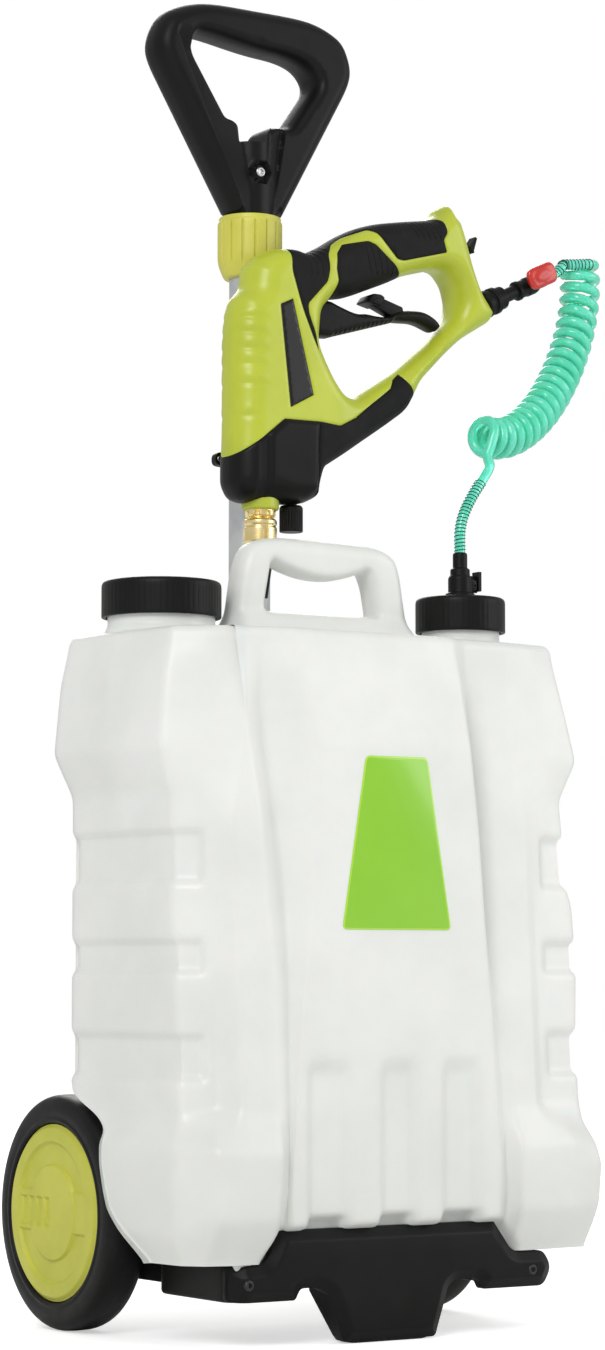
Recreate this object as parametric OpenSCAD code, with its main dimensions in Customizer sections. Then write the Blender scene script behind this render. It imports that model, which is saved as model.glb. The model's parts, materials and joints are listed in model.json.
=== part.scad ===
// Wheeled sprayer cart: a blow-moulded tank on a two-wheeled base, with a telescopic
// pole and a battery spray gun that feeds through a curly hose.
// Sizes are in millimetres. Pieces are drawn about the tank: x runs across it, y runs
// back from its parting line and z runs up from the ground. place() then moves the
// whole cart so that the origin lies on the ground under its middle.

/* [Wheels] */
// Outside diameter of each tyre
tyre_d = 160; // [140:1:180]
// Width of each tyre
tyre_w = 28; // [24:1:32]
// Diameter of the cap on the outer face of each wheel
hub_cap_d = 120; // [90:1:124]
// Gap between each tyre and the side of the base
tyre_gap = 4.5; // [3.5:0.5:8]
// Diameter of the steel axle
axle_d = 12; // [8:1:16]
// Wall of the bush between each hub and the axle
bush_t = 3; // [2:0.5:4]

/* [Tank] */
// Half width of the tank at its shoulders and at its foot
tank_half_w = 166; // [160:1:175]
// Half width of the ribbed middle of the tank
waist_half_w = 152; // [146:1:156]
// Height of the top of the tank above the ground
tank_top = 478; // [450:1:520]
// Wall of the tank
tank_wall = 3; // [2:0.5:4]
// Distance from the parting line back to the rear face
tank_back = 78; // [70:1:84]
// Depth of the grooves between the ribs at the corners
rib_depth = 4.5; // [2:0.5:6]
// Height of the three grooves
groove_heights = [37, 24, 32];
// Heights of the undersides of the three grooves
groove_levels = [301, 242, 172];
// Width of the channel down the back that holds the lance
channel_w = 82; // [70:1:90]
// Width of the carry handle at its foot
carry_w = 146; // [120:1:160]
// Height of the carry handle above the top of the tank
carry_h = 65; // [55:1:75]
// Thickness of the carry handle from front to back
carry_t = 26; // [20:1:32]

/* [Caps] */
// Diameter of the filler cap
filler_cap_d = 82; // [74:1:86]
// Diameter of the outlet cap
outlet_cap_d = 64; // [56:1:68]
// Height of each cap
cap_h = 25; // [20:1:30]
// Thickness of each cap's top and skirt
cap_wall = 3; // [2:0.5:4]
// Thickness of the sealing ring under each cap
gasket_t = 2; // [1:0.5:3]

/* [Base] */
// Width of the base across its front beam
base_w = 252; // [246:1:256]
// Height of the underside of the base above the ground
base_clear = 30; // [20:1:34]
// Height of the floor that the tank stands on
base_top = 55; // [50:1:60]
// Height of the top of the wall in front of the tank
wall_top = 76; // [66:1:82]
// Width of each side rail
rail_w = 22; // [16:1:24]

/* [Pole] */
// Outside diameter of the lower tube
pole_d = 30; // [26:1:32]
// Wall of both tubes
pole_wall = 1.5; // [1:0.25:2]
// Height of the top of the lower tube
pole_top = 765; // [750:1:775]
// Travel of the upper tube
pole_travel = 300; // [200:10:320]
// Diameter of the lock collar
collar_d = 49; // [42:1:54]
// Height of the lock collar
collar_h = 45; // [35:1:50]
// Width across the outside of the handle grip
grip_w = 170; // [150:1:190]
// Thickness of the handle grip
grip_t = 34; // [33:1:40]

/* [Gun] */
// Thickness of the gun
gun_t = 42; // [40:1:42]
// Wall of the gun's shells
gun_wall = 3; // [2:0.5:4]
// Width of the trigger
trigger_w = 18; // [12:1:22]
// Diameter of the trigger's pin
trigger_pin_d = 5; // [3:0.5:6]
// Outside diameter of the lance tube
lance_d = 8; // [6:0.5:10]
// Length of the lance tube
lance_len = 358; // [300:1:360]
// Diameter of the lance nut
nut_d = 25; // [22:1:27]

/* [Hose] */
// Outside diameter of the hose
hose_d = 7.5; // [5:0.5:7.5]
// Outside diameter of the coil
coil_d = 31; // [29:1:33]
// Number of turns in the coil
coil_turns = 21; // [10:1:21]

/* [Hidden] */

// Curves of lathe-turned pieces
$fn = 64;
// Sides of the arcs that round flat outlines
round_fn = 16;
// Radial gap of a shaft in its bore
fit = 0.05;
// Gap between pieces that face each other without touching
gap = 0.3;

// Plastics
lime = [0.72, 0.78, 0.24];
label_green = [0.64, 0.89, 0.27];
black = [0.07, 0.07, 0.075];
tank_white = [0.93, 0.94, 0.93];
steel = [0.75, 0.76, 0.77];
brass = [0.8, 0.65, 0.3];
mint = [0.33, 0.87, 0.69];
red = [0.8, 0.15, 0.13];

// Running gear
axle_y = 89;
axle_z = tyre_d / 2;
wheel_x = base_w / 2 + tyre_gap + tyre_w / 2;
axle_r = axle_d / 2;
hub_r = tyre_d / 2 - 18;
bush_r = axle_r + fit + bush_t;
axle_half = wheel_x + 8;

// Tank
tank_foot = base_top;
neck_bottom = tank_top - 8;
cap_gap = 6;
filler_at = [-118, 14];
outlet_at = [114, -12];
cap_top = tank_top + cap_gap + cap_h;
neck_top = cap_top - cap_wall - gasket_t - gap;
filler_neck_r = filler_cap_d / 2 - cap_wall - 1 - gap;
outlet_neck_r = outlet_cap_d / 2 - cap_wall - 1 - gap;
neck_wall = 3;
front_reach = 104;
front = -front_reach;
label_y = front + 7;
label_z = tank_top - 206;
// Heights of the tank's shoulder and of the top and the foot of its ribbed waist
shoulder_z = tank_top - 83;
waist_top = shoulder_z - 33;
waist_foot = tank_foot + 95;
lobe_top = tank_foot + 73;
lobe_foot = tank_foot + 29;
waist_z = waist_foot + 150;
// Rear face of the tank's foot, in front of the wheels
wheel_room = axle_y - tyre_d / 2 - 2;
recess_x = waist_half_w - 20;
// Width of the middle lobe at its foot, and the inner edge of the side lobes at the waist
lobe_w = 168;
side_lobe_x = recess_x - 40;
// Width of the flutes at the foot of the middle lobe, and their distance from the middle
flute_w = 22;
flute_x = 25;
suction_foot = tank_foot + 45;
channel_floor = 30;

// Pole and handle
pole_r = pole_d / 2;
upper_r = pole_r - pole_wall - fit;
pole_y = axle_y;
pole_foot = axle_z - 14;
collar_bottom = pole_top - 21;
collar_top = collar_bottom + collar_h;
grip_z = collar_top + 1;
grip_rise = 152;
socket_depth = 62;
upper_overlap = 65;
upper_bottom = pole_top - upper_overlap - pole_travel;
socket_top = 170;
socket_r = pole_r + fit + 5;

// Gun
gun_y = 43;
// The gun hangs a little to the left of and below the place where its pieces are drawn
gun_shift = [-5, -1.5];
gun_half = gun_t / 2;
gun_back = gun_y + gun_half;
gun_edge = 6;
soft_t = 1.5;
lance_x = -15;
trigger_at = [30, 714];
trigger_play = 0.4;
lock_at = [101, 722.5];
lock_pin_r = 1.5;
flap_pin = [168.3, 776.2];
inlet_at = [180, 738];
inlet_angle = 24.5;
inlet_len = 33;
inlet_r = 10;
inlet_reach = 207;
holder_t = pole_y - pole_r - gun_back - gap;
holder_levels = [592, 624];
clamp_at = [-25, 602];
peg_at = [5, 606];
nut_top = 565;
nut_h = 19;
lance_top = nut_top - nut_h + 7;
nozzle_z = lance_top - lance_len;

// Hose: the middle line of the coil is one cubic curve between these four points
coil_path = [[272, 52, 780], [286, 58, 722], [210, 26, 622], [146, 6, 632]];
coil_r = (coil_d - hose_d) / 2;
curl_rings = 8;
// The free stretches at the coil's two ends
coupling_z = cap_top + 22;
tail_route = [[142, -10, 607], [136, -11, 598], [128, -12, 588], [121, -12, 577],
    [116, -12, 566], [outlet_at[0], outlet_at[1], 556], [outlet_at[0], outlet_at[1], 546],
    [outlet_at[0], outlet_at[1], coupling_z]];
lead_route = [[232.3, 43, 762.6], [238.5, 43, 765.4], [244, 42.5, 769.6], [248, 42, 773.3]];

// The cart's reach on each side, which puts the origin under its middle
rear_reach = axle_y + tyre_d / 2;
shift_x = -(inlet_reach - tank_half_w) / 2;
shift_y = -(rear_reach - front_reach) / 2;

// ---------------------------------------------------------------- helpers

module place() {
    translate([shift_x, shift_y, 0])
        children();
}

module place_gun() {
    place()
        translate([gun_shift[0], 0, gun_shift[1]])
            children();
}

// An outline drawn in x and z, given thickness in y
module across(y0, y1) {
    translate([0, y1, 0])
        rotate([90, 0, 0])
            linear_extrude(y1 - y0)
                children();
}

// An outline drawn in y and z, given length in x
module along(x0, x1) {
    translate([x0, 0, 0])
        rotate([90, 0, 90])
            linear_extrude(x1 - x0)
                children();
}

// An outline drawn in x and y, given height in z
module upward(z0, z1) {
    translate([0, 0, z0])
        linear_extrude(z1 - z0)
            children();
}

// A rod along z from z0 to z1
module rod(at, r, z0, z1) {
    translate([at[0], at[1], z0])
        cylinder(r = r, h = z1 - z0);
}

// A rod along x
module cross_rod(x0, x1, y, z, r) {
    translate([x0, y, z])
        rotate([0, 90, 0])
            cylinder(r = r, h = x1 - x0);
}

// A rod along y at a point given in x and z
module through_rod(at, r, y0, y1) {
    translate([at[0], y1, at[1]])
        rotate([90, 0, 0])
            cylinder(r = r, h = y1 - y0);
}

module both_sides() {
    children();
    mirror([1, 0, 0])
        children();
}

// Rounds the convex and the hollow corners of an outline
module rounded(r) {
    offset(r = r, $fn = round_fn)
        offset(delta = -2 * r)
            offset(r = r, $fn = round_fn)
                children();
}

// A cushion-edged solid: layers that draw in towards both faces
module pillow(middle_y, half, edge) {
    steps = [[0.55, 0], [0.78, 0.3], [1, 1]];
    for (s = steps)
        across(middle_y - half * s[0], middle_y + half * s[0])
            offset(delta = -edge * s[1])
                children();
}

// ---------------------------------------------------------------- hose geometry

function unit(v) = v / norm(v);
function bezier(p, t) =
    pow(1 - t, 3) * p[0] + 3 * t * pow(1 - t, 2) * p[1]
    + 3 * t * t * (1 - t) * p[2] + pow(t, 3) * p[3];
function bezier_slope(p, t) =
    3 * pow(1 - t, 2) * (p[1] - p[0]) + 6 * t * (1 - t) * (p[2] - p[1])
    + 3 * t * t * (p[3] - p[2]);

// Directions square to the coil's middle line: one level, one upright
function level_way(t) = unit(cross(bezier_slope(coil_path, t), [0.45, 1, 0.1]));
function upright_way(t) = unit(cross(level_way(t), bezier_slope(coil_path, t)));
// The middle line is run along faster near its ends, which keeps the turns evenly spaced
function eased(t) = t + 0.024 * sin(360 * t);
function coil_point(u) =
    let (t = eased(u))
    bezier(coil_path, t)
    + coil_r * (cos(360 * coil_turns * u + coil_start) * level_way(t)
        + sin(360 * coil_turns * u + coil_start) * upright_way(t));
coil_start = 270;
coil_steps = coil_turns * curl_rings;
coil_curve = [for (i = [0 : coil_steps]) coil_point(i / coil_steps)];
coil_line = concat(
    [coil_curve[0] - hose_d * unit(coil_curve[1] - coil_curve[0])],
    coil_curve,
    [coil_curve[coil_steps] + hose_d * unit(coil_curve[coil_steps] - coil_curve[coil_steps - 1])]);
coil_first = coil_line[0];
coil_last = coil_line[len(coil_line) - 1];

// The middle lines of the free stretches, from the coil's ends to their fittings
first_way = unit(coil_curve[0] - coil_first);
last_way = unit(coil_last - coil_curve[coil_steps]);
tail_line = concat([coil_last, coil_last + hose_d * last_way], tail_route);
lead_line = concat(lead_route, [coil_first - hose_d * first_way, coil_first]);

function line_length(p) =
    len(p) < 2 ? 0 : sum([for (i = [1 : len(p) - 1]) norm(p[i] - p[i - 1])]);
function sum(v, i = 0) = i >= len(v) ? 0 : v[i] + sum(v, i + 1);
function tangent(p, i) =
    i == 0 ? unit(p[1] - p[0])
    : i == len(p) - 1 ? unit(p[i] - p[i - 1])
    : unit(unit(p[i + 1] - p[i]) + unit(p[i] - p[i - 1]));

// One side direction carried along the line, so that the tube doesn't twist
function carry(p, i, side) =
    let (flat = side - (side * tangent(p, i)) * tangent(p, i)) unit(flat);
function sides(p, i = 0, side = [0.2, 1, 0.1], done = []) =
    i == len(p) ? done
    : let (now = carry(p, i, side)) sides(p, i + 1, now, concat(done, [now]));

module tube(p, r, n) {
    m = len(p);
    side = sides(p);
    rings = [for (i = [0 : m - 1]) for (k = [0 : n - 1])
        p[i] + r * (cos(360 * k / n) * side[i]
            + sin(360 * k / n) * cross(tangent(p, i), side[i]))];
    walls = [for (i = [0 : m - 2]) for (k = [0 : n - 1]) for (h = [0, 1])
        let (a = i * n + k, b = i * n + (k + 1) % n)
            h == 0 ? [a, a + n, b] : [b, a + n, b + n]];
    first_end = [for (k = [1 : n - 2]) [0, k, k + 1]];
    last_end = [for (k = [1 : n - 2]) [(m - 1) * n, (m - 1) * n + k + 1, (m - 1) * n + k]];
    polyhedron(rings, concat(walls, first_end, last_end));
}

// Least distance between turns, measured on the middle line half a turn apart or more
coil_gap = min([for (i = [0 : len(coil_line) - 1 - curl_rings / 2])
    min([for (j = [i + curl_rings / 2 : min(i + 2 * curl_rings, len(coil_line) - 1)])
        norm(coil_line[j] - coil_line[i])])]) - hose_d;
echo(least_gap_in_coil = coil_gap);
echo(coil_length = line_length(coil_line));
echo(coil_ends = [coil_line[0], coil_line[1], coil_line[len(coil_line) - 2], coil_last]);
echo(lead_start = [inlet_at[0] + gun_shift[0] + (inlet_len + 30) * cos(inlet_angle), gun_y,
    inlet_at[1] + gun_shift[1] + (inlet_len + 30) * sin(inlet_angle)]);
echo(tail_length = line_length(tail_line), lead_length = line_length(lead_line));

// ---------------------------------------------------------------- tank

module tank_front_outline() {
    half = [[tank_half_w - 16, tank_foot], [tank_half_w - 2, tank_foot + 20],
        [tank_half_w, tank_foot + 45], [tank_half_w, lobe_top + 4], [waist_half_w, waist_foot],
        [waist_half_w, waist_top], [tank_half_w, shoulder_z], [tank_half_w - 8, tank_top - 18],
        [tank_half_w - 14, tank_top]];
    other = [for (i = [len(half) - 1 : -1 : 0]) [-half[i][0], half[i][1]]];
    rounded(3)
        polygon(concat(half, other));
}

// The tank from the side; proud is where its front lies at the top edge, the shoulder,
// the waist, the foot of the waist, the lower lobe and the underside
module tank_side_outline(proud) {
    rounded(4)
        polygon([[tank_back - 14, tank_top], [proud[0] + 10, tank_top],
            [proud[0], tank_top - 12], [proud[1], shoulder_z], [proud[2], waist_z],
            [proud[3], waist_foot], [proud[4], lobe_top], [proud[4], lobe_foot],
            [proud[5], tank_foot], [wheel_room - 41, tank_foot], [wheel_room - 9, tank_foot + 33],
            [wheel_room, tank_foot + 57], [wheel_room, tank_foot + 83],
            [wheel_room + 19, tank_foot + 101], [tank_back, tank_foot + 115],
            [tank_back, tank_top - 38]]);
}

module tank_plan_outline() {
    rounded(5)
        polygon([[-tank_half_w, tank_back - 34], [-tank_half_w, front + 38],
            [-tank_half_w + 24, front], [tank_half_w - 24, front], [tank_half_w, front + 38],
            [tank_half_w, tank_back - 34], [tank_half_w - 20, tank_back],
            [-tank_half_w + 20, tank_back]]);
}

module tank_block(proud, inset) {
    intersection() {
        across(front - 1, tank_back + 1)
            offset(delta = -inset)
                tank_front_outline();
        along(-tank_half_w - 1, tank_half_w + 1)
            offset(delta = -inset)
                tank_side_outline(proud);
        upward(tank_foot - 1, tank_top + 1)
            offset(delta = -inset)
                tank_plan_outline();
    }
}

// Half widths of the middle lobe and of the valleys beside it, from the top down
module lobe_outline(inset) {
    half = [[lobe_w / 2 - 26, tank_top + 1], [lobe_w / 2 - 20, tank_top - 33],
        [lobe_w / 2 - 18, shoulder_z], [lobe_w / 2 - 15, waist_z],
        [lobe_w / 2 - 8, waist_foot + 78], [lobe_w / 2 - 4, waist_foot],
        [lobe_w / 2, tank_foot + 45], [lobe_w / 2 - 4, tank_foot - 1]];
    other = [for (i = [len(half) - 1 : -1 : 0]) [-half[i][0], half[i][1]]];
    offset(delta = -inset)
        polygon(concat(half, other));
}

module side_lobe_outline(inset) {
    offset(delta = -inset)
        polygon([[side_lobe_x + 12, tank_top + 1], [side_lobe_x + 9, shoulder_z + 5],
            [side_lobe_x + 4, waist_top - 12], [side_lobe_x, waist_foot + 100],
            [side_lobe_x + 1, lobe_top + 12], [side_lobe_x + 6, lobe_foot],
            [side_lobe_x + 8, tank_foot - 1], [tank_half_w + 10, tank_foot - 1],
            [tank_half_w + 10, tank_top + 1]]);
}

// What is taken off the tank's corners: the tall recess and its ribs' grooves
module corner_cuts(inset) {
    both_sides() {
        along(recess_x - inset, tank_half_w + 5)
            polygon([[front - 9, waist_top - 4 + inset], [front + 34 + inset, waist_top - 10 + inset],
                [front + 22 + inset, waist_foot - inset], [front - 9, waist_foot - 6 - inset]]);
        for (i = [0 : len(groove_levels) - 1])
            upward(groove_levels[i] - inset, groove_levels[i] + groove_heights[i] + inset)
                difference() {
                    translate([recess_x - 20, front - 5])
                        square([tank_half_w - recess_x + 32, tank_back - front + 10]);
                    offset(delta = -rib_depth - inset)
                        intersection() {
                            translate([-waist_half_w, front + 34])
                                square([2 * waist_half_w, tank_back - front - 34]);
                            tank_plan_outline();
                        }
                    translate([0, front - 9])
                        square([recess_x - inset, 40 - front]);
                }
    }
}

// The channel down the back for the pole and the lance
module back_channel(inset) {
    half = channel_w / 2 + inset;
    upward(tank_foot - 2, tank_top + 2)
        polygon([[-half + 8, channel_floor - inset], [half - 8, channel_floor - inset],
            [half, tank_back + 2], [-half, tank_back + 2]]);
}

// The hollow at the foot of the front that takes the base's wall
module wall_recess(inset) {
    foot_half = wall_half + 2;
    top_half = foot_half - wall_slope;
    across(front - 1, wall_y + wall_t + 0.5 + inset)
        offset(delta = inset)
            polygon([[-foot_half, tank_foot - 1], [-foot_half, tank_foot + 1],
                [-top_half, wall_top + 4], [top_half, wall_top + 4],
                [foot_half, tank_foot + 1], [foot_half, tank_foot - 1]]);
}

module lower_flutes(inset) {
    for (x = [-flute_x, flute_x])
        translate([x - flute_w / 2 - inset, front - 1, wall_top - 2 - inset])
            cube([flute_w + 2 * inset, label_y + 4 - front + 1 + inset, 108 + 2 * inset]);
}

function from_front(depths) = [for (d = depths) front + d];

module tank_form(inset) {
    difference() {
        union() {
            tank_block(from_front([34, 33, 29, 20, 14, 26]), inset);
            both_sides()
                intersection() {
                    tank_block(from_front([27, 25, 21, 11, 0, 14]), inset);
                    across(front - 1, tank_back + 1)
                        side_lobe_outline(inset);
                }
            intersection() {
                tank_block(from_front([20, 7, 7, 7, 7, 14]), inset);
                across(front - 1, tank_back + 1)
                    lobe_outline(inset);
            }
        }
        corner_cuts(inset);
        back_channel(inset);
        lower_flutes(inset);
        wall_recess(inset);
    }
}

module carry_outline() {
    rounded(4)
        polygon([[-carry_w / 2, tank_top - 6], [-carry_w / 2 + 5, tank_top + carry_h - 20],
            [-carry_w / 2 + 13, tank_top + carry_h - 5], [-carry_w / 2 + 31, tank_top + carry_h],
            [carry_w / 2 - 25, tank_top + carry_h - 1], [carry_w / 2 - 14, tank_top + carry_h - 6],
            [carry_w / 2 - 9, tank_top + carry_h - 14], [carry_w / 2, tank_top - 6]]);
}

module carry_opening() {
    rounded(3)
        polygon([[-carry_w / 2 + 23, tank_top + 14], [-carry_w / 2 + 30, tank_top + carry_h - 17],
            [carry_w / 2 - 39, tank_top + carry_h - 19], [carry_w / 2 - 33, tank_top + carry_h - 26],
            [carry_w / 2 - 28, tank_top + 14]]);
}

module tank() {
    color(tank_white)
        place()
            difference() {
                union() {
                    tank_form(0);
                    rod(filler_at, filler_neck_r, neck_bottom, neck_top);
                    rod(outlet_at, outlet_neck_r, neck_bottom, neck_top);
                    difference() {
                        across(-carry_t / 2, carry_t / 2)
                            carry_outline();
                        across(-carry_t / 2 - 1, carry_t / 2 + 1)
                            carry_opening();
                    }
                    both_sides()
                        translate([lug_x - lug_w / 2, lug_y, tank_foot - 5])
                            cube([lug_w, 10, 8]);
                }
                tank_form(tank_wall);
                rod(filler_at, filler_neck_r - neck_wall, tank_top - 20, neck_top + 1);
                rod(outlet_at, outlet_neck_r - neck_wall, tank_top - 20, neck_top + 1);
            }
}

module tank_label() {
    color(label_green)
        place()
            across(label_y - 0.6, label_y)
                rounded(2)
                    polygon([[-25, label_z + 116], [25, label_z + 116], [44, label_z], [-44, label_z]]);
}

// ---------------------------------------------------------------- caps and outlet

module cap(at, d, bore_r, top_hole) {
    difference() {
        rod(at, d / 2, cap_top - cap_h, cap_top);
        rod(at, bore_r, cap_top - cap_h - 1, cap_top - cap_wall);
        rod(at, top_hole, cap_top - cap_wall - 1, cap_top + 1);
    }
}

module gasket(at, neck_r) {
    difference() {
        rod(at, neck_r, neck_top, neck_top + gasket_t);
        rod(at, neck_r - neck_wall - 1, neck_top - 1, neck_top + gasket_t + 1);
    }
}

module filler_cap() {
    color(black)
        place()
            difference() {
                rod(filler_at, filler_cap_d / 2, cap_top - cap_h, cap_top);
                rod(filler_at, filler_neck_r + gap, cap_top - cap_h - 1, cap_top - cap_wall);
            }
}

module filler_gasket() {
    color(black)
        place()
            gasket(filler_at, filler_neck_r);
}

// A basket that hangs in the filler neck from its own rim
module filler_strainer() {
    basket_r = filler_neck_r - neck_wall - gap;
    color(black)
        place()
            difference() {
                rod(filler_at, basket_r, neck_top - 52, neck_top - 1);
                rod(filler_at, basket_r - 1.6, neck_top - 50, neck_top);
                for (turn = [0 : 45 : 315])
                    translate([filler_at[0], filler_at[1], neck_top - 44])
                        rotate([0, 0, turn])
                            translate([basket_r - 5, -7, 0])
                                cube([10, 14, 24]);
            }
}

fitting_r = 7;

module outlet_cap() {
    color(black)
        place()
            cap(outlet_at, outlet_cap_d, outlet_neck_r + gap, fitting_r + gap);
}

module outlet_gasket() {
    color(black)
        place()
            gasket(outlet_at, outlet_neck_r);
}

// The spigot through the outlet cap: a flange under the cap and a barb for the suction tube
module outlet_fitting() {
    color(black)
        place()
            difference() {
                union() {
                    rod(outlet_at, outlet_neck_r - neck_wall - gap, neck_top - 3, neck_top);
                    rod(outlet_at, fitting_r, neck_top - 3, cap_top + 5);
                    rod(outlet_at, 4, neck_top - 22, neck_top - 3);
                }
                rod(outlet_at, 2.5, neck_top - 23, cap_top + 6);
            }
}

latch_pin = [outlet_at[0] + 11, coupling_z - 12];
latch_pin_r = 0.8;

module outlet_coupling() {
    color(black)
        place()
            difference() {
                union() {
                    rod(outlet_at, 8.5, cap_top + 5, coupling_z - 7);
                    rod(outlet_at, 7, coupling_z - 7, coupling_z);
                    for (y = [-3, 1])
                        translate([outlet_at[0] + 6, outlet_at[1] + y, coupling_z - 16])
                            cube([6.5, 2, 8]);
                }
                rod(outlet_at, 2.5, cap_top + 4, coupling_z + 1);
                through_rod(latch_pin, latch_pin_r + fit, outlet_at[1] - 4, outlet_at[1] + 4);
            }
}

// The thumb lever on the coupling, which pivots on a pin between two ears
module coupling_latch() {
    color(black)
        place()
            union() {
                translate([outlet_at[0] + 9.5, outlet_at[1] - 0.7, coupling_z - 17])
                    cube([5, 1.4, 12]);
                translate([outlet_at[0] + 13.5, outlet_at[1] - 4, coupling_z - 16])
                    cube([2.5, 8, 14]);
                through_rod(latch_pin, latch_pin_r, outlet_at[1] - 3, outlet_at[1] + 3);
            }
}

module suction_tube() {
    color(tank_white)
        place()
            difference() {
                rod(outlet_at, 5.5, suction_foot + 25, neck_top - 6);
                rod(outlet_at, 4 + fit, suction_foot + 24, neck_top - 5);
            }
}

module suction_strainer() {
    color(black)
        place()
            difference() {
                union() {
                    rod(outlet_at, 9, suction_foot, suction_foot + 25);
                    rod(outlet_at, 4, suction_foot + 24, suction_foot + 36);
                }
                rod(outlet_at, 2.5, suction_foot + 6, suction_foot + 37);
                for (z = [suction_foot + 6 : 5 : suction_foot + 16])
                    translate([outlet_at[0] - 12, outlet_at[1] - 3, z])
                        cube([24, 6, 2]);
            }
}

// ---------------------------------------------------------------- base

rail_x = base_w / 2;
block_x = wheel_x - tyre_w / 2 - 3;
beam_front = front + 11;
rail_back = 4;
wall_y = beam_front + 3;
wall_t = 6;
wall_half = rail_x - 27;
wall_slope = 13;
foot_w = 95;
// Lugs under the tank that sit in sockets in the rails, and the screws below them
lug_x = rail_x - 13;
lug_w = 14;
lug_y = beam_front + 9;
screw_at = [rail_x - 12, base_clear + 12];

module base_plan() {
    rounded(4)
        difference() {
            polygon([[-rail_x, beam_front + 12], [-rail_x + 12, beam_front],
                [rail_x - 12, beam_front], [rail_x, beam_front + 12], [rail_x, rail_back],
                [-rail_x, rail_back]]);
            translate([-rail_x + rail_w, beam_front + 34])
                square([2 * (rail_x - rail_w), 90]);
        }
}

// Two inner rails that run back to the axle and the cross beam that holds it
module axle_carrier() {
    inner = rail_x - rail_w - 2;
    both_sides() {
        translate([inner, beam_front + 30, base_clear + 6])
            cube([rail_w - 4, axle_y + 14 - beam_front - 30, base_top - base_clear - 6]);
        along(inner, inner + rail_w - 4)
            polygon([[20, base_top - 1], [axle_y - 16, axle_z + 12], [axle_y + 14, axle_z + 12],
                [axle_y + 14, base_top - 1]]);
        cross_rod(inner, block_x, axle_y, axle_z, axle_r + 8);
    }
    translate([-inner, axle_y - 14, axle_z - 14])
        cube([2 * inner, 28, 26]);
}

module front_wall() {
    top_half = wall_half - wall_slope;
    across(wall_y, wall_y + wall_t)
        polygon([[-wall_half, base_clear], [-wall_half, base_top + 1], [-top_half, wall_top],
            [top_half, wall_top], [wall_half, base_top + 1], [wall_half, base_clear]]);
}

module foot() {
    hull() {
        translate([-foot_w / 2, beam_front + 2.5, base_clear])
            cube([foot_w, 32, 6]);
        translate([11.5 - foot_w / 2, beam_front + 2.5, 4])
            cube([foot_w - 23, 22, 1]);
        translate([15.5 - foot_w / 2, beam_front + 4, 0])
            cube([foot_w - 31, 18, 1]);
    }
}

module base_frame() {
    color(black)
        place()
            difference() {
                union() {
                    upward(base_clear, base_top)
                        base_plan();
                    axle_carrier();
                    front_wall();
                    foot();
                }
                cross_rod(-block_x - 1, block_x + 1, axle_y, axle_z, axle_r + fit);
                rod([0, axle_y], pole_r + fit, pole_foot, axle_z + 20);
                both_sides()
                    translate([lug_x - lug_w / 2 - 1, lug_y - 1, base_top - 6])
                        cube([lug_w + 2, 12, 8]);
                both_sides()
                    through_rod(screw_at, 2.5 + fit, beam_front - 1, beam_front + 20);
            }
}

module screw(at, y, r, head_r, length, head_h) {
    through_rod(at, r, y, y + length);
    through_rod(at, head_r, y - head_h, y);
}

module base_screws() {
    color(steel)
        place()
            both_sides()
                screw(screw_at, beam_front, 2.5, 4.5, 16, 1.5);
}

module pole_socket() {
    color(black)
        place()
            difference() {
                union() {
                    rod([0, pole_y], socket_r, axle_z + 12, socket_top);
                    translate([-38, pole_y - 14, axle_z + 12])
                        cube([76, 28, 10]);
                }
                rod([0, pole_y], pole_r + fit, axle_z + 11, socket_top + 1);
                for (x = [-30, 30])
                    rod([x, pole_y], 2.5, axle_z + 11, axle_z + 23);
            }
}

// ---------------------------------------------------------------- wheels

// A profile drawn in radius and width, turned about the axle; outer is the side away
// from the tank
module turned(side) {
    translate([side * wheel_x, axle_y, axle_z])
        rotate([0, side * 90, 0])
            rotate_extrude()
                children();
}

module tyre(side) {
    half = tyre_w / 2;
    r = tyre_d / 2;
    turned(side)
        polygon([[hub_r, -half + 4], [hub_r + 3, -half + 2], [r - 9, -half], [r - 3, -half + 3],
            [r, -half + 7], [r, half - 7], [r - 3, half - 3], [r - 9, half],
            [hub_r + 3, half - 2], [hub_r, half - 4]]);
}

module hub(side) {
    half = tyre_w / 2;
    turned(side)
        polygon([[bush_r + fit, -half + 1], [bush_r + 6, -half + 1], [bush_r + 6, -3],
            [hub_r - 8, -3], [hub_r - 8, -half + 3], [hub_r, -half + 3], [hub_r, half - 3],
            [hub_r - 8, half - 3], [hub_r - 8, 3], [bush_r + 6, 3], [bush_r + 6, half - 8],
            [bush_r + fit, half - 8]]);
}

module hub_cap(side) {
    face = tyre_w / 2 + 1;
    r = hub_cap_d / 2;
    translate([side * wheel_x, axle_y, axle_z])
        rotate([0, side * 90, 0])
            union() {
                rotate_extrude()
                    polygon([[0, face - 4], [r - 12, face - 4], [r - 12, tyre_w / 2 - 3],
                        [r, tyre_w / 2 - 3], [r, face - 1], [r - 4, face], [r - 14, face],
                        [r - 16, face - 1.5], [30, face - 1.5], [28, face], [0, face]]);
                for (turn = [0, 180])
                    rotate([0, 0, turn + 90])
                        translate([20, -14, face - 3])
                            cube([r - 30, 28, 3]);
            }
}

module bush(side) {
    half = tyre_w / 2;
    turned(side)
        polygon([[axle_r + fit, -half], [bush_r, -half], [bush_r, half - 9],
            [axle_r + fit, half - 9]]);
}

module tyre_left() {
    color(black)
        place()
            tyre(-1);
}

module tyre_right() {
    color(black)
        place()
            tyre(1);
}

module hub_left() {
    color(black)
        place()
            hub(-1);
}

module hub_right() {
    color(black)
        place()
            hub(1);
}

module hub_cap_left() {
    color(lime)
        place()
            hub_cap(-1);
}

module hub_cap_right() {
    color(lime)
        place()
            hub_cap(1);
}

module bush_left() {
    color(tank_white)
        place()
            bush(-1);
}

module bush_right() {
    color(tank_white)
        place()
            bush(1);
}

module axle() {
    color(steel)
        place()
            cross_rod(-axle_half, axle_half, axle_y, axle_z, axle_r);
}

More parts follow.
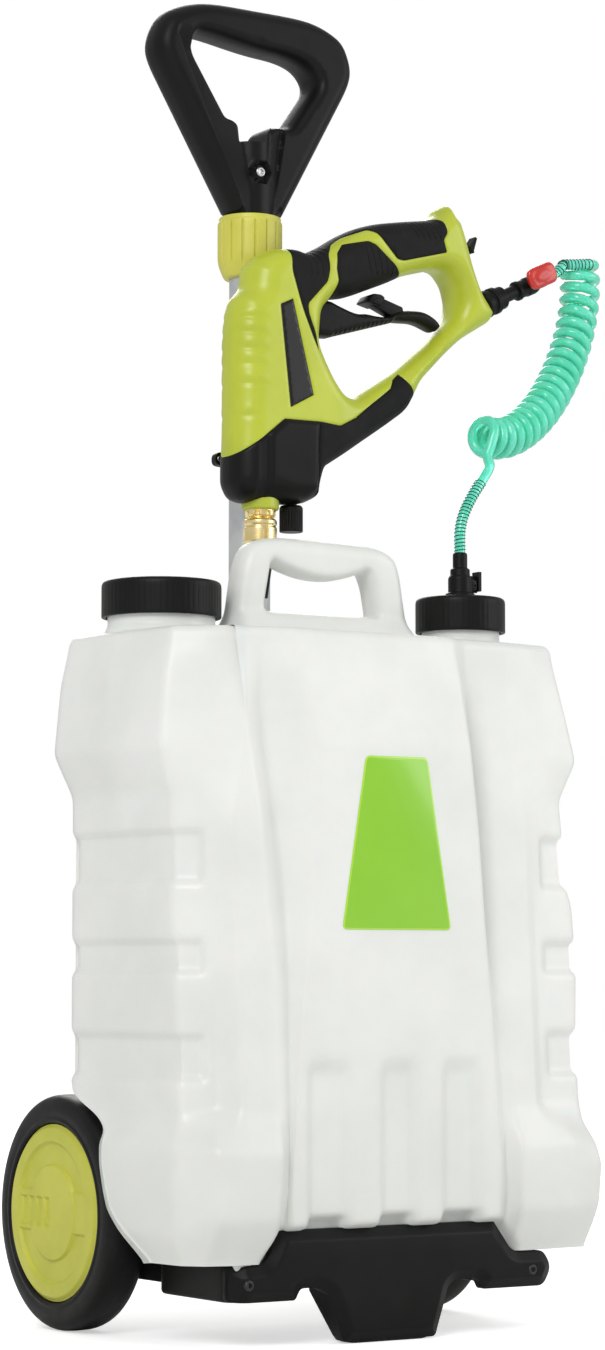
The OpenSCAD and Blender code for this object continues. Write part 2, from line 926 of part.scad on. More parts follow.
// Push-on clips that hold the bushes on the axle
module axle_clips() {
    color(steel)
        place()
            both_sides()
                difference() {
                    cross_rod(wheel_x + tyre_w / 2 - 9 + gap, axle_half - 0.5,
                        axle_y, axle_z, axle_r + 3);
                    cross_rod(wheel_x, axle_half + 1, axle_y, axle_z, axle_r);
                }
}

// ---------------------------------------------------------------- pole and handle

module pole_lower_tube() {
    color(steel)
        place()
            difference() {
                rod([0, pole_y], pole_r, pole_foot + 30, pole_top);
                rod([0, pole_y], pole_r - pole_wall, pole_foot, pole_top + 1);
            }
}

module pole_upper_tube() {
    color(steel)
        place()
            difference() {
                rod([0, pole_y], upper_r, upper_bottom, grip_z + socket_depth);
                rod([0, pole_y], upper_r - pole_wall, upper_bottom - 1, grip_z + socket_depth + 1);
                through_rod([0, grip_z + 36], 2.2, pole_y - pole_r, pole_y + pole_r);
            }
}

module lock_collar() {
    ribs = 20;
    color(lime)
        place()
            difference() {
                union() {
                    rod([0, pole_y], collar_d / 2 - 2, collar_bottom + 3, collar_top);
                    translate([0, pole_y, collar_bottom])
                        cylinder(r1 = collar_d / 2 - 5, r2 = collar_d / 2 - 2, h = 3);
                    for (i = [0 : ribs - 1])
                        translate([0, pole_y, collar_bottom + 6])
                            rotate([0, 0, i * 360 / ribs])
                                translate([collar_d / 2 - 3, -2, 0])
                                    cube([3, 4, collar_h - 8]);
                }
                rod([0, pole_y], pole_r + fit, collar_bottom - 1, collar_top + 1);
            }
}

module grip_outline() {
    half = grip_w / 2;
    side = [[26, grip_z], [half - 1, grip_z + 107], [half, grip_z + 120],
        [half - 8, grip_z + 136], [half - 24, grip_z + 146], [half - 45, grip_z + grip_rise]];
    other = [for (i = [len(side) - 1 : -1 : 0]) [-side[i][0], side[i][1]]];
    rounded(4)
        polygon(concat(side, other));
}

module grip_opening() {
    half = grip_w / 2;
    side = [[12, grip_z + 58], [26, grip_z + 70], [half - 24, grip_z + 116],
        [half - 25, grip_z + 124], [half - 33, grip_z + 130]];
    other = [for (i = [len(side) - 1 : -1 : 0]) [-side[i][0], side[i][1]]];
    rounded(3)
        polygon(concat(side, other));
}

module handle_grip() {
    color(black)
        place()
            difference() {
                pillow(pole_y, grip_t / 2, 7)
                    difference() {
                        grip_outline();
                        grip_opening();
                    }
                rod([0, pole_y], upper_r + fit, grip_z - 1, grip_z + socket_depth + 0.2);
                through_rod([0, grip_z + 36], 2.2, pole_y - grip_t, pole_y + grip_t);
                through_rod([0, grip_z + 36], 6, pole_y - grip_t, pole_y - grip_t / 2 + 2);
            }
}

module grip_screw() {
    front = pole_y - grip_t / 2 + 2;
    color(steel)
        place()
            difference() {
                screw([0, grip_z + 36], front, 2.2, 4.5, grip_t - 8, 1.8);
                translate([-0.6, front - 2, grip_z + 33])
                    cube([1.2, 1.2, 6]);
            }
}

// ---------------------------------------------------------------- gun

module gun_outline() {
    difference() {
        polygon([[-20, 755], [-27, 750], [-32, 742], [-36, 731], [-42, 721], [-47, 706],
            [-44, 702], [-47.5, 690], [-44, 686], [-47.5, 675], [-44, 671], [-47.5, 658],
            [-44, 652], [-47.5, 635], [-49, 602], [-48, 585], [-40, 576], [24, 576],
            [30, 583], [36, 603], [69, 623], [92, 641], [116, 664], [121, 671], [155, 702],
            [181, 718], [189, 730], [188, 735], [175, 749], [167, 776], [155, 797],
            [147, 808], [139, 808], [128, 801], [97, 791], [64, 783], [45, 775], [19, 762]]);
        rounded(2)
            polygon([[41, 728], [97, 748], [106, 751], [132, 756], [139, 753], [146, 733],
                [143, 721], [133, 711], [64, 660], [58, 659], [53, 664], [45, 676], [35, 690]]);
    }
}

module nose_region() {
    polygon([[-60, 595], [-49, 602], [-18, 620], [8, 638], [36, 638], [36, 560], [-60, 560]]);
}

module strut_region() {
    polygon([[36, 638], [54, 638], [99, 672], [106, 679], [113, 676], [124, 664], [124, 560],
        [36, 560]]);
}

module overmould_region() {
    polygon([[5, 759], [0, 790], [120, 820], [128, 800], [142, 798], [149, 790], [145, 787],
        [149, 773], [131, 771], [112, 765], [107, 766], [98, 776], [88, 783], [81, 784],
        [50, 773], [44, 769], [43, 765], [47, 749], [45, 744], [30, 734], [26, 728],
        [26, 724], [29, 712], [33, 698], [30, 698], [19, 737]]);
}

module panel_region() {
    polygon([[53, 765], [56, 767], [80, 776], [105, 753], [105, 740], [42, 716], [41, 731],
        [54, 742], [55, 746]]);
}

// Room for the trigger's root inside the shells
module trigger_room() {
    across(gun_y - trigger_w / 2 - trigger_play, gun_y + trigger_w / 2 + trigger_play)
        polygon([[19, 694], [46, 690], [62, 734], [36, 730], [19, 726]]);
}

// The gun's whole form, drawn in by a distance on every side
module gun_form(inset) {
    pillow(gun_y, gun_half - inset, gun_edge)
        offset(delta = -inset)
            gun_outline();
}

// A skin of the gun's form between two depths
module gun_skin(from, to) {
    difference() {
        gun_form(from);
        gun_form(to);
    }
}

// Ribs inside the shells that seat the pump, its motor, the switch and the cells
module gun_ribs() {
    wide = gun_t + 2;
    difference() {
        intersection() {
            gun_form(gun_wall - 1);
            union() {
                translate([-60, gun_y - wide / 2, 646])
                    cube([75, wide, 2]);
                translate([-60, gun_y - wide / 2, 690])
                    cube([70, wide, 2]);
                translate([0, gun_y - wide / 2, 706])
                    cube([18, wide, 2]);
                translate([75, gun_y - wide / 2, 730])
                    cube([2, wide, 70]);
                translate([106, gun_y - wide / 2, 730])
                    cube([2, wide, 80]);
                translate([145, gun_y - wide / 2, 752])
                    cube([50, wide, 2]);
            }
        }
        cell_forms(fit);
        rod(pump_at, 15 + fit, 600, 652);
        rod(pump_at, 13.5 + fit, 652, 700);
    }
}

// The lime half shells share one outline with the black pieces set into it
module shell_pair() {
    difference() {
        union() {
            gun_skin(0, gun_wall);
            gun_ribs();
            for (at = shell_screw_places)
                through_rod(at, 3.6, gun_y - gun_half + 1, gun_back - 1);
        }
        across(gun_y - gun_half - 1, gun_y + gun_half + 1)
            nose_region();
        soft_skin() {
            strut_region();
            overmould_region();
            panel_region();
        }
        trigger_room();
        through_rod(trigger_at, trigger_pin_d / 2, gun_y - gun_half + 1, gun_y + gun_half - 1);
        inlet_rod(inlet_r - 3, -6, 2);
        inlet_rod(inlet_r - 1.4, 1, 14);
        for (at = shell_screw_places)
            through_rod(at, 1.6, gun_y - 9, gun_back + 1);
        for (at = shell_screw_places)
            through_rod(at, 3.2, gun_back - 3, gun_back + 1);
    }
}

// A rod along the inlet's own slanted line, from d0 to d1 in front of the shell
module inlet_rod(r, d0, d1) {
    translate([inlet_at[0], gun_y, inlet_at[1]])
        rotate([0, 90 - inlet_angle, 0])
            translate([0, 0, d0])
                cylinder(r = r, h = d1 - d0);
}

shell_screw_places = [[-24, 737], [-38, 645], [20, 655], [122, 688], [150, 789]];

module gun_shell_left() {
    color(lime)
        place_gun()
            intersection() {
                shell_pair();
                translate([-80, gun_y - gun_half - 2, 540])
                    cube([300, gun_half + 2, 300]);
            }
}

module gun_shell_right() {
    color(lime)
        place_gun()
            intersection() {
                shell_pair();
                translate([-80, gun_y, 540])
                    cube([300, gun_half + 2, 300]);
            }
}

module soft_skin() {
    difference() {
        intersection() {
            gun_skin(0, soft_t);
            across(gun_y - gun_half - 1, gun_y + gun_half + 1)
                union()
                    children();
        }
        trigger_room();
    }
}

module grip_overmould() {
    color(black)
        place_gun()
            soft_skin()
                overmould_region();
}

module grip_panel() {
    color(black)
        place_gun()
            soft_skin()
                panel_region();
}

module nose_housing() {
    color(black)
        place_gun()
            difference() {
                intersection() {
                    gun_skin(0, gun_wall);
                    across(gun_y - gun_half - 1, gun_y + gun_half + 1)
                        nose_region();
                }
                rod([lance_x, gun_y], 9 + fit, 570, 582);
                rod([11, gun_y], 4 + fit, 570, 582);
                through_rod(peg_at, 3.8, gun_back - 2.5, gun_back + 1);
            }
}

module strut_bumper() {
    color(black)
        place_gun()
            soft_skin()
                strut_region();
}

module shell_screws() {
    color(steel)
        place_gun()
            for (at = shell_screw_places)
                union() {
                    through_rod(at, 1.5, gun_y - 8, gun_back - 3);
                    through_rod(at, 3, gun_back - 3, gun_back - 1.6);
                }
}

module trigger() {
    color(black)
        place_gun()
            difference() {
                across(gun_y - trigger_w / 2, gun_y + trigger_w / 2)
                    polygon([[41, 724], [30, 722], [22, 719], [22, 706], [30, 700], [37, 700],
                        [54, 703], [57, 702], [60, 705], [63, 704], [66, 707], [69, 706],
                        [72, 709], [75, 708], [78, 711], [81, 710], [84, 713], [87, 712],
                        [90, 715], [103, 717], [118, 718], [134, 713.5], [137, 717],
                        [134, 722], [123, 727], [106, 726], [97, 723], [92, 719.5],
                        [83, 719], [72, 720], [66, 719], [59, 720], [46, 724]]);
                through_rod(trigger_at, trigger_pin_d / 2 + fit, gun_y - 20, gun_y + 20);
                across(gun_y - 5, gun_y + 5)
                    polygon([[88, 718.5], [106, 718.5], [110, 735], [82, 735]]);
                through_rod(lock_at, lock_pin_r + fit, gun_y - 7.5, gun_y + 7.5);
            }
}

module trigger_pin() {
    color(steel)
        place_gun()
            through_rod(trigger_at, trigger_pin_d / 2, gun_y - gun_half + 1.8,
                gun_y + gun_half - 1.8);
}

// The plate on the trigger that holds it pressed
module trigger_lock() {
    color(black)
        place_gun()
            union() {
                across(gun_y - 5 + gap, gun_y + 5 - gap)
                    polygon([[73, 729], [77, 734], [83, 734], [105, 728], [106, 722],
                        [104, 719.6], [98, 719.6], [94, 721]]);
                through_rod(lock_at, lock_pin_r, gun_y - 7, gun_y + 7);
                across(gun_y - 8, gun_y + 8)
                    polygon([[73, 729], [77, 734], [83, 734], [86, 732.5], [83, 726]]);
            }
}

module switch() {
    color(black)
        place_gun()
            translate([5, gun_y - 5, 708])
                cube([13, 10, 18]);
}

pump_at = [lance_x, gun_y];

module pump_motor() {
    color(steel)
        place_gun()
            difference() {
                rod(pump_at, 13.5, 652, 700);
                rod(pump_at, 1.5 + fit, 650, 701);
            }
}

module motor_shaft() {
    color(steel)
        place_gun()
            union() {
                rod(pump_at, 1.5, 634, 698);
                rod([lance_x + 1.5, gun_y], 5, 636, 644);
            }
}

module pump_body() {
    color(black)
        place_gun()
            difference() {
                rod(pump_at, 15, 590, 652);
                rod(pump_at, 8, 630, 653);
                rod(pump_at, 3, 589, 615);
            }
}

module cell_forms(extra) {
    translate([56, gun_y, 761])
        rotate([0, 75, 0])
            cylinder(r = 9.2 + extra, h = 65);
    translate([161, gun_y, 724])
        rotate([0, -10, 0])
            cylinder(r = 9.2 + extra, h = 45);
}

module battery_cells() {
    color("royalblue")
        place_gun()
            cell_forms(0);
}

module pressure_knob() {
    color(black)
        place_gun()
            union() {
                rod([11, gun_y], 8.4, 557, 575.6);
                rod([11, gun_y], 4, 575.6, 584);
            }
}

// ---------------------------------------------------------------- lance

module lance_connector() {
    color(brass)
        place_gun()
            difference() {
                union() {
                    translate([lance_x, gun_y, 569])
                        cylinder(r1 = 10, r2 = 13, h = 7);
                    rod(pump_at, 9, 575, 590);
                    rod(pump_at, 8.5, nut_top - nut_h + 8, 569);
                }
                rod(pump_at, 2.5, nut_top - nut_h + 7, 591);
            }
}

module lance_nut() {
    color(brass)
        place_gun()
            difference() {
                translate([lance_x, gun_y, nut_top - nut_h])
                    cylinder(r = nut_d / 2, h = nut_h, $fn = 6);
                rod(pump_at, 8.5 + fit, nut_top - nut_h + 4, nut_top + 1);
                rod(pump_at, lance_d / 2 + fit, nut_top - nut_h - 1, nut_top);
            }
}

module lance_sleeve() {
    color(black)
        place_gun()
            difference() {
                translate([lance_x, gun_y, 508])
                    cylinder(r1 = lance_d / 2 + 1.2, r2 = 10, h = nut_top - nut_h - 508 - gap);
                rod(pump_at, lance_d / 2, 500, nut_top);
            }
}

module lance_tube() {
    color(steel)
        place_gun()
            difference() {
                union() {
                    rod(pump_at, lance_d / 2, nozzle_z, lance_top);
                    rod(pump_at, 6, nozzle_z - 12, nozzle_z + 8);
                }
                rod(pump_at, lance_d / 2 - 1, nozzle_z + 8, lance_top + 1);
                rod(pump_at, 1.5, nozzle_z - 13, nozzle_z + 9);
            }
}

module nozzle_cap() {
    color(black)
        place_gun()
            difference() {
                rod(pump_at, 9, nozzle_z - 18, nozzle_z - 2);
                rod(pump_at, 6 + fit, nozzle_z - 12.5, nozzle_z);
                rod(pump_at, 1, nozzle_z - 19, nozzle_z);
            }
}

// ---------------------------------------------------------------- gun fittings

module gun_inlet() {
    color(black)
        place_gun()
            difference() {
                union() {
                    inlet_rod(inlet_r - 3 - fit, -3, 1);
                    inlet_rod(inlet_r, 8, 12);
                    inlet_rod(inlet_r - 1.4, 1, 20);
                    inlet_rod(5, 20, inlet_len);
                }
                inlet_rod(2, -4, inlet_len + 1);
            }
}

// The flap over the charging port, which swings out about the barrel at its foot
module port_flap() {
    color(black)
        place_gun()
            union() {
                across(gun_y - 4, gun_y + 4)
                    polygon([[flap_pin[0] - 0.7, flap_pin[1] + 0.8], [166, 780.6], [171, 788],
                        [172.5, 787], [flap_pin[0] + 0.9, flap_pin[1]]]);
                through_rod(flap_pin, 0.9, gun_y - 5, gun_y + 5);
            }
}

// The holder clamps the pole and carries the gun on a peg
module gun_holder() {
    z0 = holder_levels[0];
    z1 = holder_levels[1];
    plate_front = gun_back + gap / 2;
    color(black)
        place()
            difference() {
                union() {
                    difference() {
                        rod([0, pole_y], pole_r + 5, z0, z1);
                        translate([-30, plate_front - 10, z0 - 1])
                            cube([60, 10, z1 - z0 + 2]);
                    }
                    translate([-30, plate_front, z0])
                        cube([54, holder_t, z1 - z0]);
                    translate([-33, pole_y - 10, z0])
                        cube([20, 20, z1 - z0 - 8]);
                    through_rod(peg_at + gun_shift, 3.5, gun_back - 2.3, gun_back + 1);
                }
                rod([0, pole_y], pole_r + fit, z0 - 1, z1 + 1);
                translate([-40, pole_y - 1, z0 - 1])
                    cube([26, 2, z1 - z0]);
                through_rod(clamp_at, 2.2, pole_y - 11, pole_y + 11);
            }
}

module holder_bolt() {
    color(steel)
        place()
            union() {
                through_rod(clamp_at, 2.2, pole_y - 10, pole_y + 10);
                through_rod(clamp_at, 4.5, pole_y - 13, pole_y - 10);
            }
}

// ---------------------------------------------------------------- hose

coupling_end = lead_route[0];

// A rod along the line from the gun's inlet to the hose
module coupling_rod(r, d0, d1) {
    inlet_rod(r, inlet_len + d0, inlet_len + d1);
}

module hose_coupling() {
    color(black)
        place_gun()
            difference() {
                union() {
                    coupling_rod(7, 0, 20);
                    coupling_rod(5, 20, 30);
                }
                coupling_rod(2, -1, 31);
                translate([inlet_at[0], gun_y, inlet_at[1]])
                    rotate([0, 90 - inlet_angle, 0])
                        translate([0, -9, inlet_len + 12])
                            rotate([-90, 0, 0])
                                cylinder(r = 1.5 + fit, h = 6.2);
            }
}

module release_clip() {
    color(red)
        place_gun()
            translate([inlet_at[0], gun_y, inlet_at[1]])
                rotate([0, 90 - inlet_angle, 0])
                    union() {
                        translate([-4, -8.5, inlet_len + 7])
                            rotate([90, 0, 0])
                                linear_extrude(4.5)
                                    offset(r = 4, $fn = round_fn)
                                        translate([-2.5, 4])
                                            square([5, 19]);
                        translate([0, -8, inlet_len + 12])
                            rotate([90, 0, 0])
                                translate([0, 0, -3.5])
                                    cylinder(r = 1.5, h = 5);
                    }
}

module hose_lead() {
    color(mint)
        place()
            tube(lead_line, hose_d / 2, 8);
}

module hose_coil() {
    color(mint)
        place()
            tube(coil_line, hose_d / 2, 6);
}

module hose_tail() {
    color(mint)
        place()
            tube(tail_line, hose_d / 2, 8);
}

tank();
tank_label();
filler_cap();
filler_gasket();
filler_strainer();
outlet_cap();
outlet_gasket();
outlet_fitting();
outlet_coupling();
coupling_latch();
suction_tube();
suction_strainer();
base_frame();
base_screws();
axle();
axle_clips();
tyre_left();
tyre_right();
hub_left();
hub_right();
hub_cap_left();
hub_cap_right();
bush_left();
bush_right();
pole_socket();
pole_lower_tube();
pole_upper_tube();
lock_collar();
handle_grip();
grip_screw();
gun_holder();
holder_bolt();
gun_shell_left();
gun_shell_right();
grip_overmould();
grip_panel();
nose_housing();
strut_bumper();
shell_screws();
trigger();
trigger_pin();
trigger_lock();
switch();
pump_motor();
motor_shaft();
pump_body();
battery_cells();
pressure_knob();
lance_connector();
lance_nut();
lance_sleeve();
lance_tube();
nozzle_cap();
gun_inlet();
port_flap();
hose_coupling();
release_clip();
hose_lead();
hose_coil();
hose_tail();
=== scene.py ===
"""Dresses the wheeled sprayer cart. Pieces are drawn in millimetres about the tank: x runs
across it, y runs back from its parting line and z runs up from the ground."""

import json
import math

import bmesh
import bpy
import numpy as np
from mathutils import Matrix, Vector
from mathutils.geometry import delaunay_2d_cdt


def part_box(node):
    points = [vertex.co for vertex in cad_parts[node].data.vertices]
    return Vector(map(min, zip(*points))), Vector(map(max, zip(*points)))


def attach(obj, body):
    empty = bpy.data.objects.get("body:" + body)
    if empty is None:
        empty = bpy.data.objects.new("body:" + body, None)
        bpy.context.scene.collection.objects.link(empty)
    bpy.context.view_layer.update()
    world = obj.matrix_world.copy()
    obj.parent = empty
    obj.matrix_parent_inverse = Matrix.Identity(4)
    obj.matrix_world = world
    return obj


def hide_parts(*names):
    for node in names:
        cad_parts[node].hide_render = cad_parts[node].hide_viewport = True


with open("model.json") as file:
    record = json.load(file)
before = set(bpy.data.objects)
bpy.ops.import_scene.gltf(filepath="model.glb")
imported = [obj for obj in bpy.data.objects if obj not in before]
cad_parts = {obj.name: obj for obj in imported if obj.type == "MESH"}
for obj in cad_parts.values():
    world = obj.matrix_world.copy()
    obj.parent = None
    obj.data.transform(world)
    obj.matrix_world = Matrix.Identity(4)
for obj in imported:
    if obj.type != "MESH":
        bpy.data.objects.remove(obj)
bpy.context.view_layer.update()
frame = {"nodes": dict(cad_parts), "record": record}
nodes = frame["nodes"]
scene = bpy.context.scene

MM = 0.001

# ---------------------------------------------------------------- places

# The pole's middle line, in the tank's own coordinates
POLE = (0, 89)
pole_low, pole_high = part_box("pole_lower_tube")
CART_SHIFT = np.array([(pole_low.x + pole_high.x) / 2 / MM - POLE[0],
                       (pole_low.y + pole_high.y) / 2 / MM - POLE[1], 0])
# The gun hangs a little to the left of and below the place where it is drawn
GUN_SHIFT = np.array([-5, 0, -1.5])
GUN_Y = 43


def cart(points):
    return (np.asarray(points, float) + CART_SHIFT) * MM


def on_gun(points):
    return cart(np.asarray(points, float) + GUN_SHIFT)


# ---------------------------------------------------------------- camera

camera_data = bpy.data.cameras.new("camera")
camera_data.sensor_fit = "VERTICAL"
camera_data.sensor_height = 36
camera_data.lens = 91.56
camera = bpy.data.objects.new("camera", camera_data)
camera.location = (-1.32861, -2.02327, 0.24246)
camera.rotation_euler = (math.radians(94.98), 0, math.radians(-33.06))
scene.collection.objects.link(camera)
scene.camera = camera

# ---------------------------------------------------------------- shader maths


class Value:
    """A socket of a finish, with the arithmetic of shader maths."""

    def __init__(self, finish, socket):
        self.finish = finish
        self.socket = socket

    def maths(self, operation, *values):
        return self.finish.node("ShaderNodeMath", {"operation": operation}, *values)

    def __add__(self, other):
        return self.maths("ADD", self, other)

    def __sub__(self, other):
        return self.maths("SUBTRACT", self, other)

    def __mul__(self, other):
        return self.maths("MULTIPLY", self, other)

    def __truediv__(self, other):
        return self.maths("DIVIDE", self, other)

    def __rsub__(self, other):
        return self.maths("SUBTRACT", other, self)

    def __rtruediv__(self, other):
        return self.maths("DIVIDE", other, self)

    __radd__ = __add__
    __rmul__ = __mul__

    def step(self, low, high):
        """0 below low, 1 above high and smooth between them; high may be the lower one."""
        settings = {"interpolation_type": "SMOOTHSTEP"}
        return self.finish.node("ShaderNodeMapRange", settings, self, low, high, 0.0, 1.0)

    def wave(self):
        return self.maths("SINE", self)

    def size(self):
        return self.maths("ABSOLUTE", self)


class Finish:
    """One procedural material. node() adds any node, settings first, and gives its output."""

    def __init__(self, name, **constants):
        self.material = bpy.data.materials.new(name)
        self.material.use_nodes = True
        self.tree = self.material.node_tree
        self.tree.nodes.clear()
        self.surface = self.tree.nodes.new("ShaderNodeBsdfPrincipled")
        output = self.tree.nodes.new("ShaderNodeOutputMaterial")
        self.tree.links.new(self.surface.outputs[0], output.inputs["Surface"])
        for socket, constant in constants.items():
            self.surface.inputs[socket.replace("_", " ")].default_value = constant

    def node(self, kind, settings, *values, out=0, named=None):
        made = self.tree.nodes.new(kind)
        for setting, choice in settings.items():
            setattr(made, setting, choice)
        for index, value in list(enumerate(values)) + list((named or {}).items()):
            self.feed(made.inputs[index], value)
        return Value(self, made.outputs[out])

    def feed(self, socket, value):
        if isinstance(value, Value):
            self.tree.links.new(value.socket, socket)
        elif value is not None:
            socket.default_value = value

    def place(self):
        return self.node("ShaderNodeTexCoord", {}, out="Object")

    def along(self, axis):
        """The place along x, y or z, in millimetres."""
        split = self.node("ShaderNodeSeparateXYZ", {}, self.place(), out=axis)
        return split / MM

    def noise(self, size, detail=3.0, rough=0.55, stretch=(1, 1, 1)):
        """Cloudy noise from 0 to 1 whose blobs measure about size millimetres."""
        scaled = self.node("ShaderNodeVectorMath", {"operation": "MULTIPLY"}, self.place(),
                           [s / (size * MM) for s in stretch])
        return self.node("ShaderNodeTexNoise", {}, named={
            "Vector": scaled, "Scale": 1.0, "Detail": detail, "Roughness": rough})

    def mix(self, factor, first, second):
        """A blend of two colours."""
        settings = {"data_type": "RGBA"}
        named = {0: factor, 6: first, 7: second}
        return self.node("ShaderNodeMix", settings, out=2, named=named)

    def bump(self, height, depth, under=None):
        """Relief of a height from 0 to 1 that stands depth millimetres high."""
        named = {"Strength": 1.0, "Distance": depth * MM, "Height": height}
        if under is not None:
            named["Normal"] = under
        return self.node("ShaderNodeBump", {}, named=named)

    def wear(self, low=0.52, high=0.62):
        """1 on sharp outer edges, which rub first."""
        pointy = self.node("ShaderNodeNewGeometry", {}, out="Pointiness")
        return pointy.step(low, high)

    def finish(self, colour=None, rough=None, normal=None, metal=None):
        for socket, value in (("Base Color", colour), ("Roughness", rough),
                              ("Normal", normal), ("Metallic", metal)):
            if value is not None:
                self.feed(self.surface.inputs[socket], value)
        return self.material


def rgb(red, green, blue):
    """A colour given as it looks on a screen, 0 to 255."""
    return [((c / 255 + 0.055) / 1.055) ** 2.4 if c > 10 else c / 3294 for c in
            (red, green, blue)] + [1]


# ---------------------------------------------------------------- finishes


def moulded(name, base, shade, grain, grain_depth, rough, edge=None, **constants):
    """Injection-moulded plastic: fine grain, faint flow clouds, rubbed edges."""
    f = Finish(name, **constants)
    clouds = f.noise(38, 4)
    colour = f.mix(clouds.step(0.3, 0.7), base, shade)
    if edge is not None:
        rubbed = f.wear() * f.noise(5, 4).step(0.42, 0.7)
        colour = f.mix(rubbed * 0.6, colour, edge)
    scuffs = f.noise(9, 6, 0.7, (1, 1, 0.25)).step(0.56, 0.78)
    gloss = rough + 0.12 * clouds + 0.16 * scuffs
    relief = f.bump(f.noise(grain, 2), grain_depth)
    return f.finish(colour, gloss, f.bump(f.noise(60, 2), 0.25, relief))


def blown_tank():
    """Milky polyethylene with the slow waves of blow moulding and faint handling marks."""
    f = Finish("tank_plastic", Coat_Weight=0.12, Coat_Roughness=0.3, Subsurface_Weight=0.12,
               Subsurface_Scale=0.01, IOR=1.5)
    # Darker towards the bottom: below 210 mm the colour blends up to half way to a greyer white at 40
    # mm.
    low = f.along(2).step(210, 40)
    clouded_white = f.mix(f.noise(85, 4).step(0.3, 0.72), rgb(233, 234, 231), rgb(224, 226, 222))
    darker_low = f.mix(low * 0.5, clouded_white, rgb(217, 219, 214))
    dust = f.noise(2.2, 2, 0.5).step(0.74, 0.8) * f.noise(30, 2).step(0.5, 0.7)
    colour = f.mix(dust * 0.3, darker_low, rgb(176, 178, 172))
    scratches = f.noise(7, 5, 0.7, (1, 1, 0.12)).step(0.55, 0.8)
    gloss = 0.36 + 0.14 * f.noise(40, 3) + 0.14 * scratches
    skin = f.bump(f.noise(1.6, 2), 0.03)
    waves = f.bump(f.noise(46, 3, 0.5), 1.1, skin)
    return f.finish(colour, gloss, waves)


def printed_film():
    f = Finish("label_film", Coat_Weight=0.5, Coat_Roughness=0.15)
    colour = f.mix(f.noise(30, 3), rgb(143, 205, 38), rgb(134, 197, 34))
    relief = f.bump(f.noise(14, 2), 0.06)
    return f.finish(colour, 0.3 + 0.12 * f.noise(6, 4), relief)


def film_border():
    f = Finish("label_border", Coat_Weight=0.5, Coat_Roughness=0.15)
    colour = f.mix(f.noise(20, 3), rgb(178, 226, 60), rgb(166, 214, 52))
    return f.finish(colour, 0.32 + 0.1 * f.noise(6, 4), f.bump(f.noise(14, 2), 0.05))


# Where the overmould has its ridges: middle x and z, half width and half height on the gun
RIDGED = ((24, 752, 11, 13), (76, 757, 15, 12), (116, 784, 14, 8))
RIDGE_PITCH = 5.2


def grip_rubber():
    """Soft overmould with rows of short raised ridges where the fingers close."""
    f = Finish("soft_grip", Specular_IOR_Level=0.2)
    x = f.along(0) - float(CART_SHIFT[0] + GUN_SHIFT[0])
    z = f.along(2) - float(GUN_SHIFT[2])
    lean = x + 0.22 * (z - 760) + 0.006 * (z - 752) * (z - 752)
    rows = (lean * (math.tau / RIDGE_PITCH)).wave().step(-0.2, 0.9)
    field = 0.0
    for middle_x, middle_z, half_x, half_z in RIDGED:
        field = field + ((x - middle_x).size().step(half_x, half_x - 3)
                         * (z - middle_z).size().step(half_z, half_z - 4))
    colour = f.mix(f.noise(18, 4), rgb(21, 22, 21), rgb(16, 17, 16))
    dusty = f.mix(f.noise(4, 5).step(0.55, 0.8) * 0.4, colour, rgb(42, 43, 41))
    grain = f.bump(f.noise(0.7, 2), 0.05)
    return f.finish(dusty, 0.55 + 0.2 * f.noise(8, 4), f.bump(rows * field, 1.1, grain))


def tyre_rubber():
    f = Finish("tyre_rubber", Specular_IOR_Level=0.2)
    colour = f.mix(f.noise(26, 5).step(0.35, 0.7), rgb(14, 14, 14), rgb(10, 10, 10))
    dust = f.noise(3.5, 6, 0.7).step(0.5, 0.75)
    tread = f.mix(dust * 0.3, colour, rgb(38, 37, 35))
    gloss = 0.3 + 0.25 * f.noise(11, 4)
    return f.finish(tread, gloss, f.bump(f.noise(0.9, 3), 0.09))


def satin_metal(name, base, shade, rough, stretch):
    """Drawn or turned metal: hairlines across the way it was worked, faint tarnish."""
    f = Finish(name)
    lines = f.noise(1.2, 4, 0.7, stretch)
    colour = f.mix(f.noise(24, 4).step(0.35, 0.7), base, shade)
    gloss = rough + 0.22 * lines
    return f.finish(colour, gloss, f.bump(lines, 0.03), f.noise(30, 2).step(-1.0, 0.0))


def clear_hose():
    f = Finish("hose_plastic", Transmission_Weight=0.3, IOR=1.4, Coat_Weight=0.5,
               Coat_Roughness=0.08, Subsurface_Weight=0.3, Subsurface_Scale=0.006)
    colour = f.mix(f.noise(22, 4).step(0.3, 0.7), rgb(126, 250, 222), rgb(98, 240, 204))
    return f.finish(colour, 0.1 + 0.1 * f.noise(9, 4), f.bump(f.noise(5, 2), 0.08))


def painted(name, base, shade, rough, size=20, depth=0.05):
    f = Finish(name)
    colour = f.mix(f.noise(size, 4).step(0.3, 0.7), base, shade)
    return f.finish(colour, rough + 0.15 * f.noise(7, 4), f.bump(f.noise(2, 3), depth))


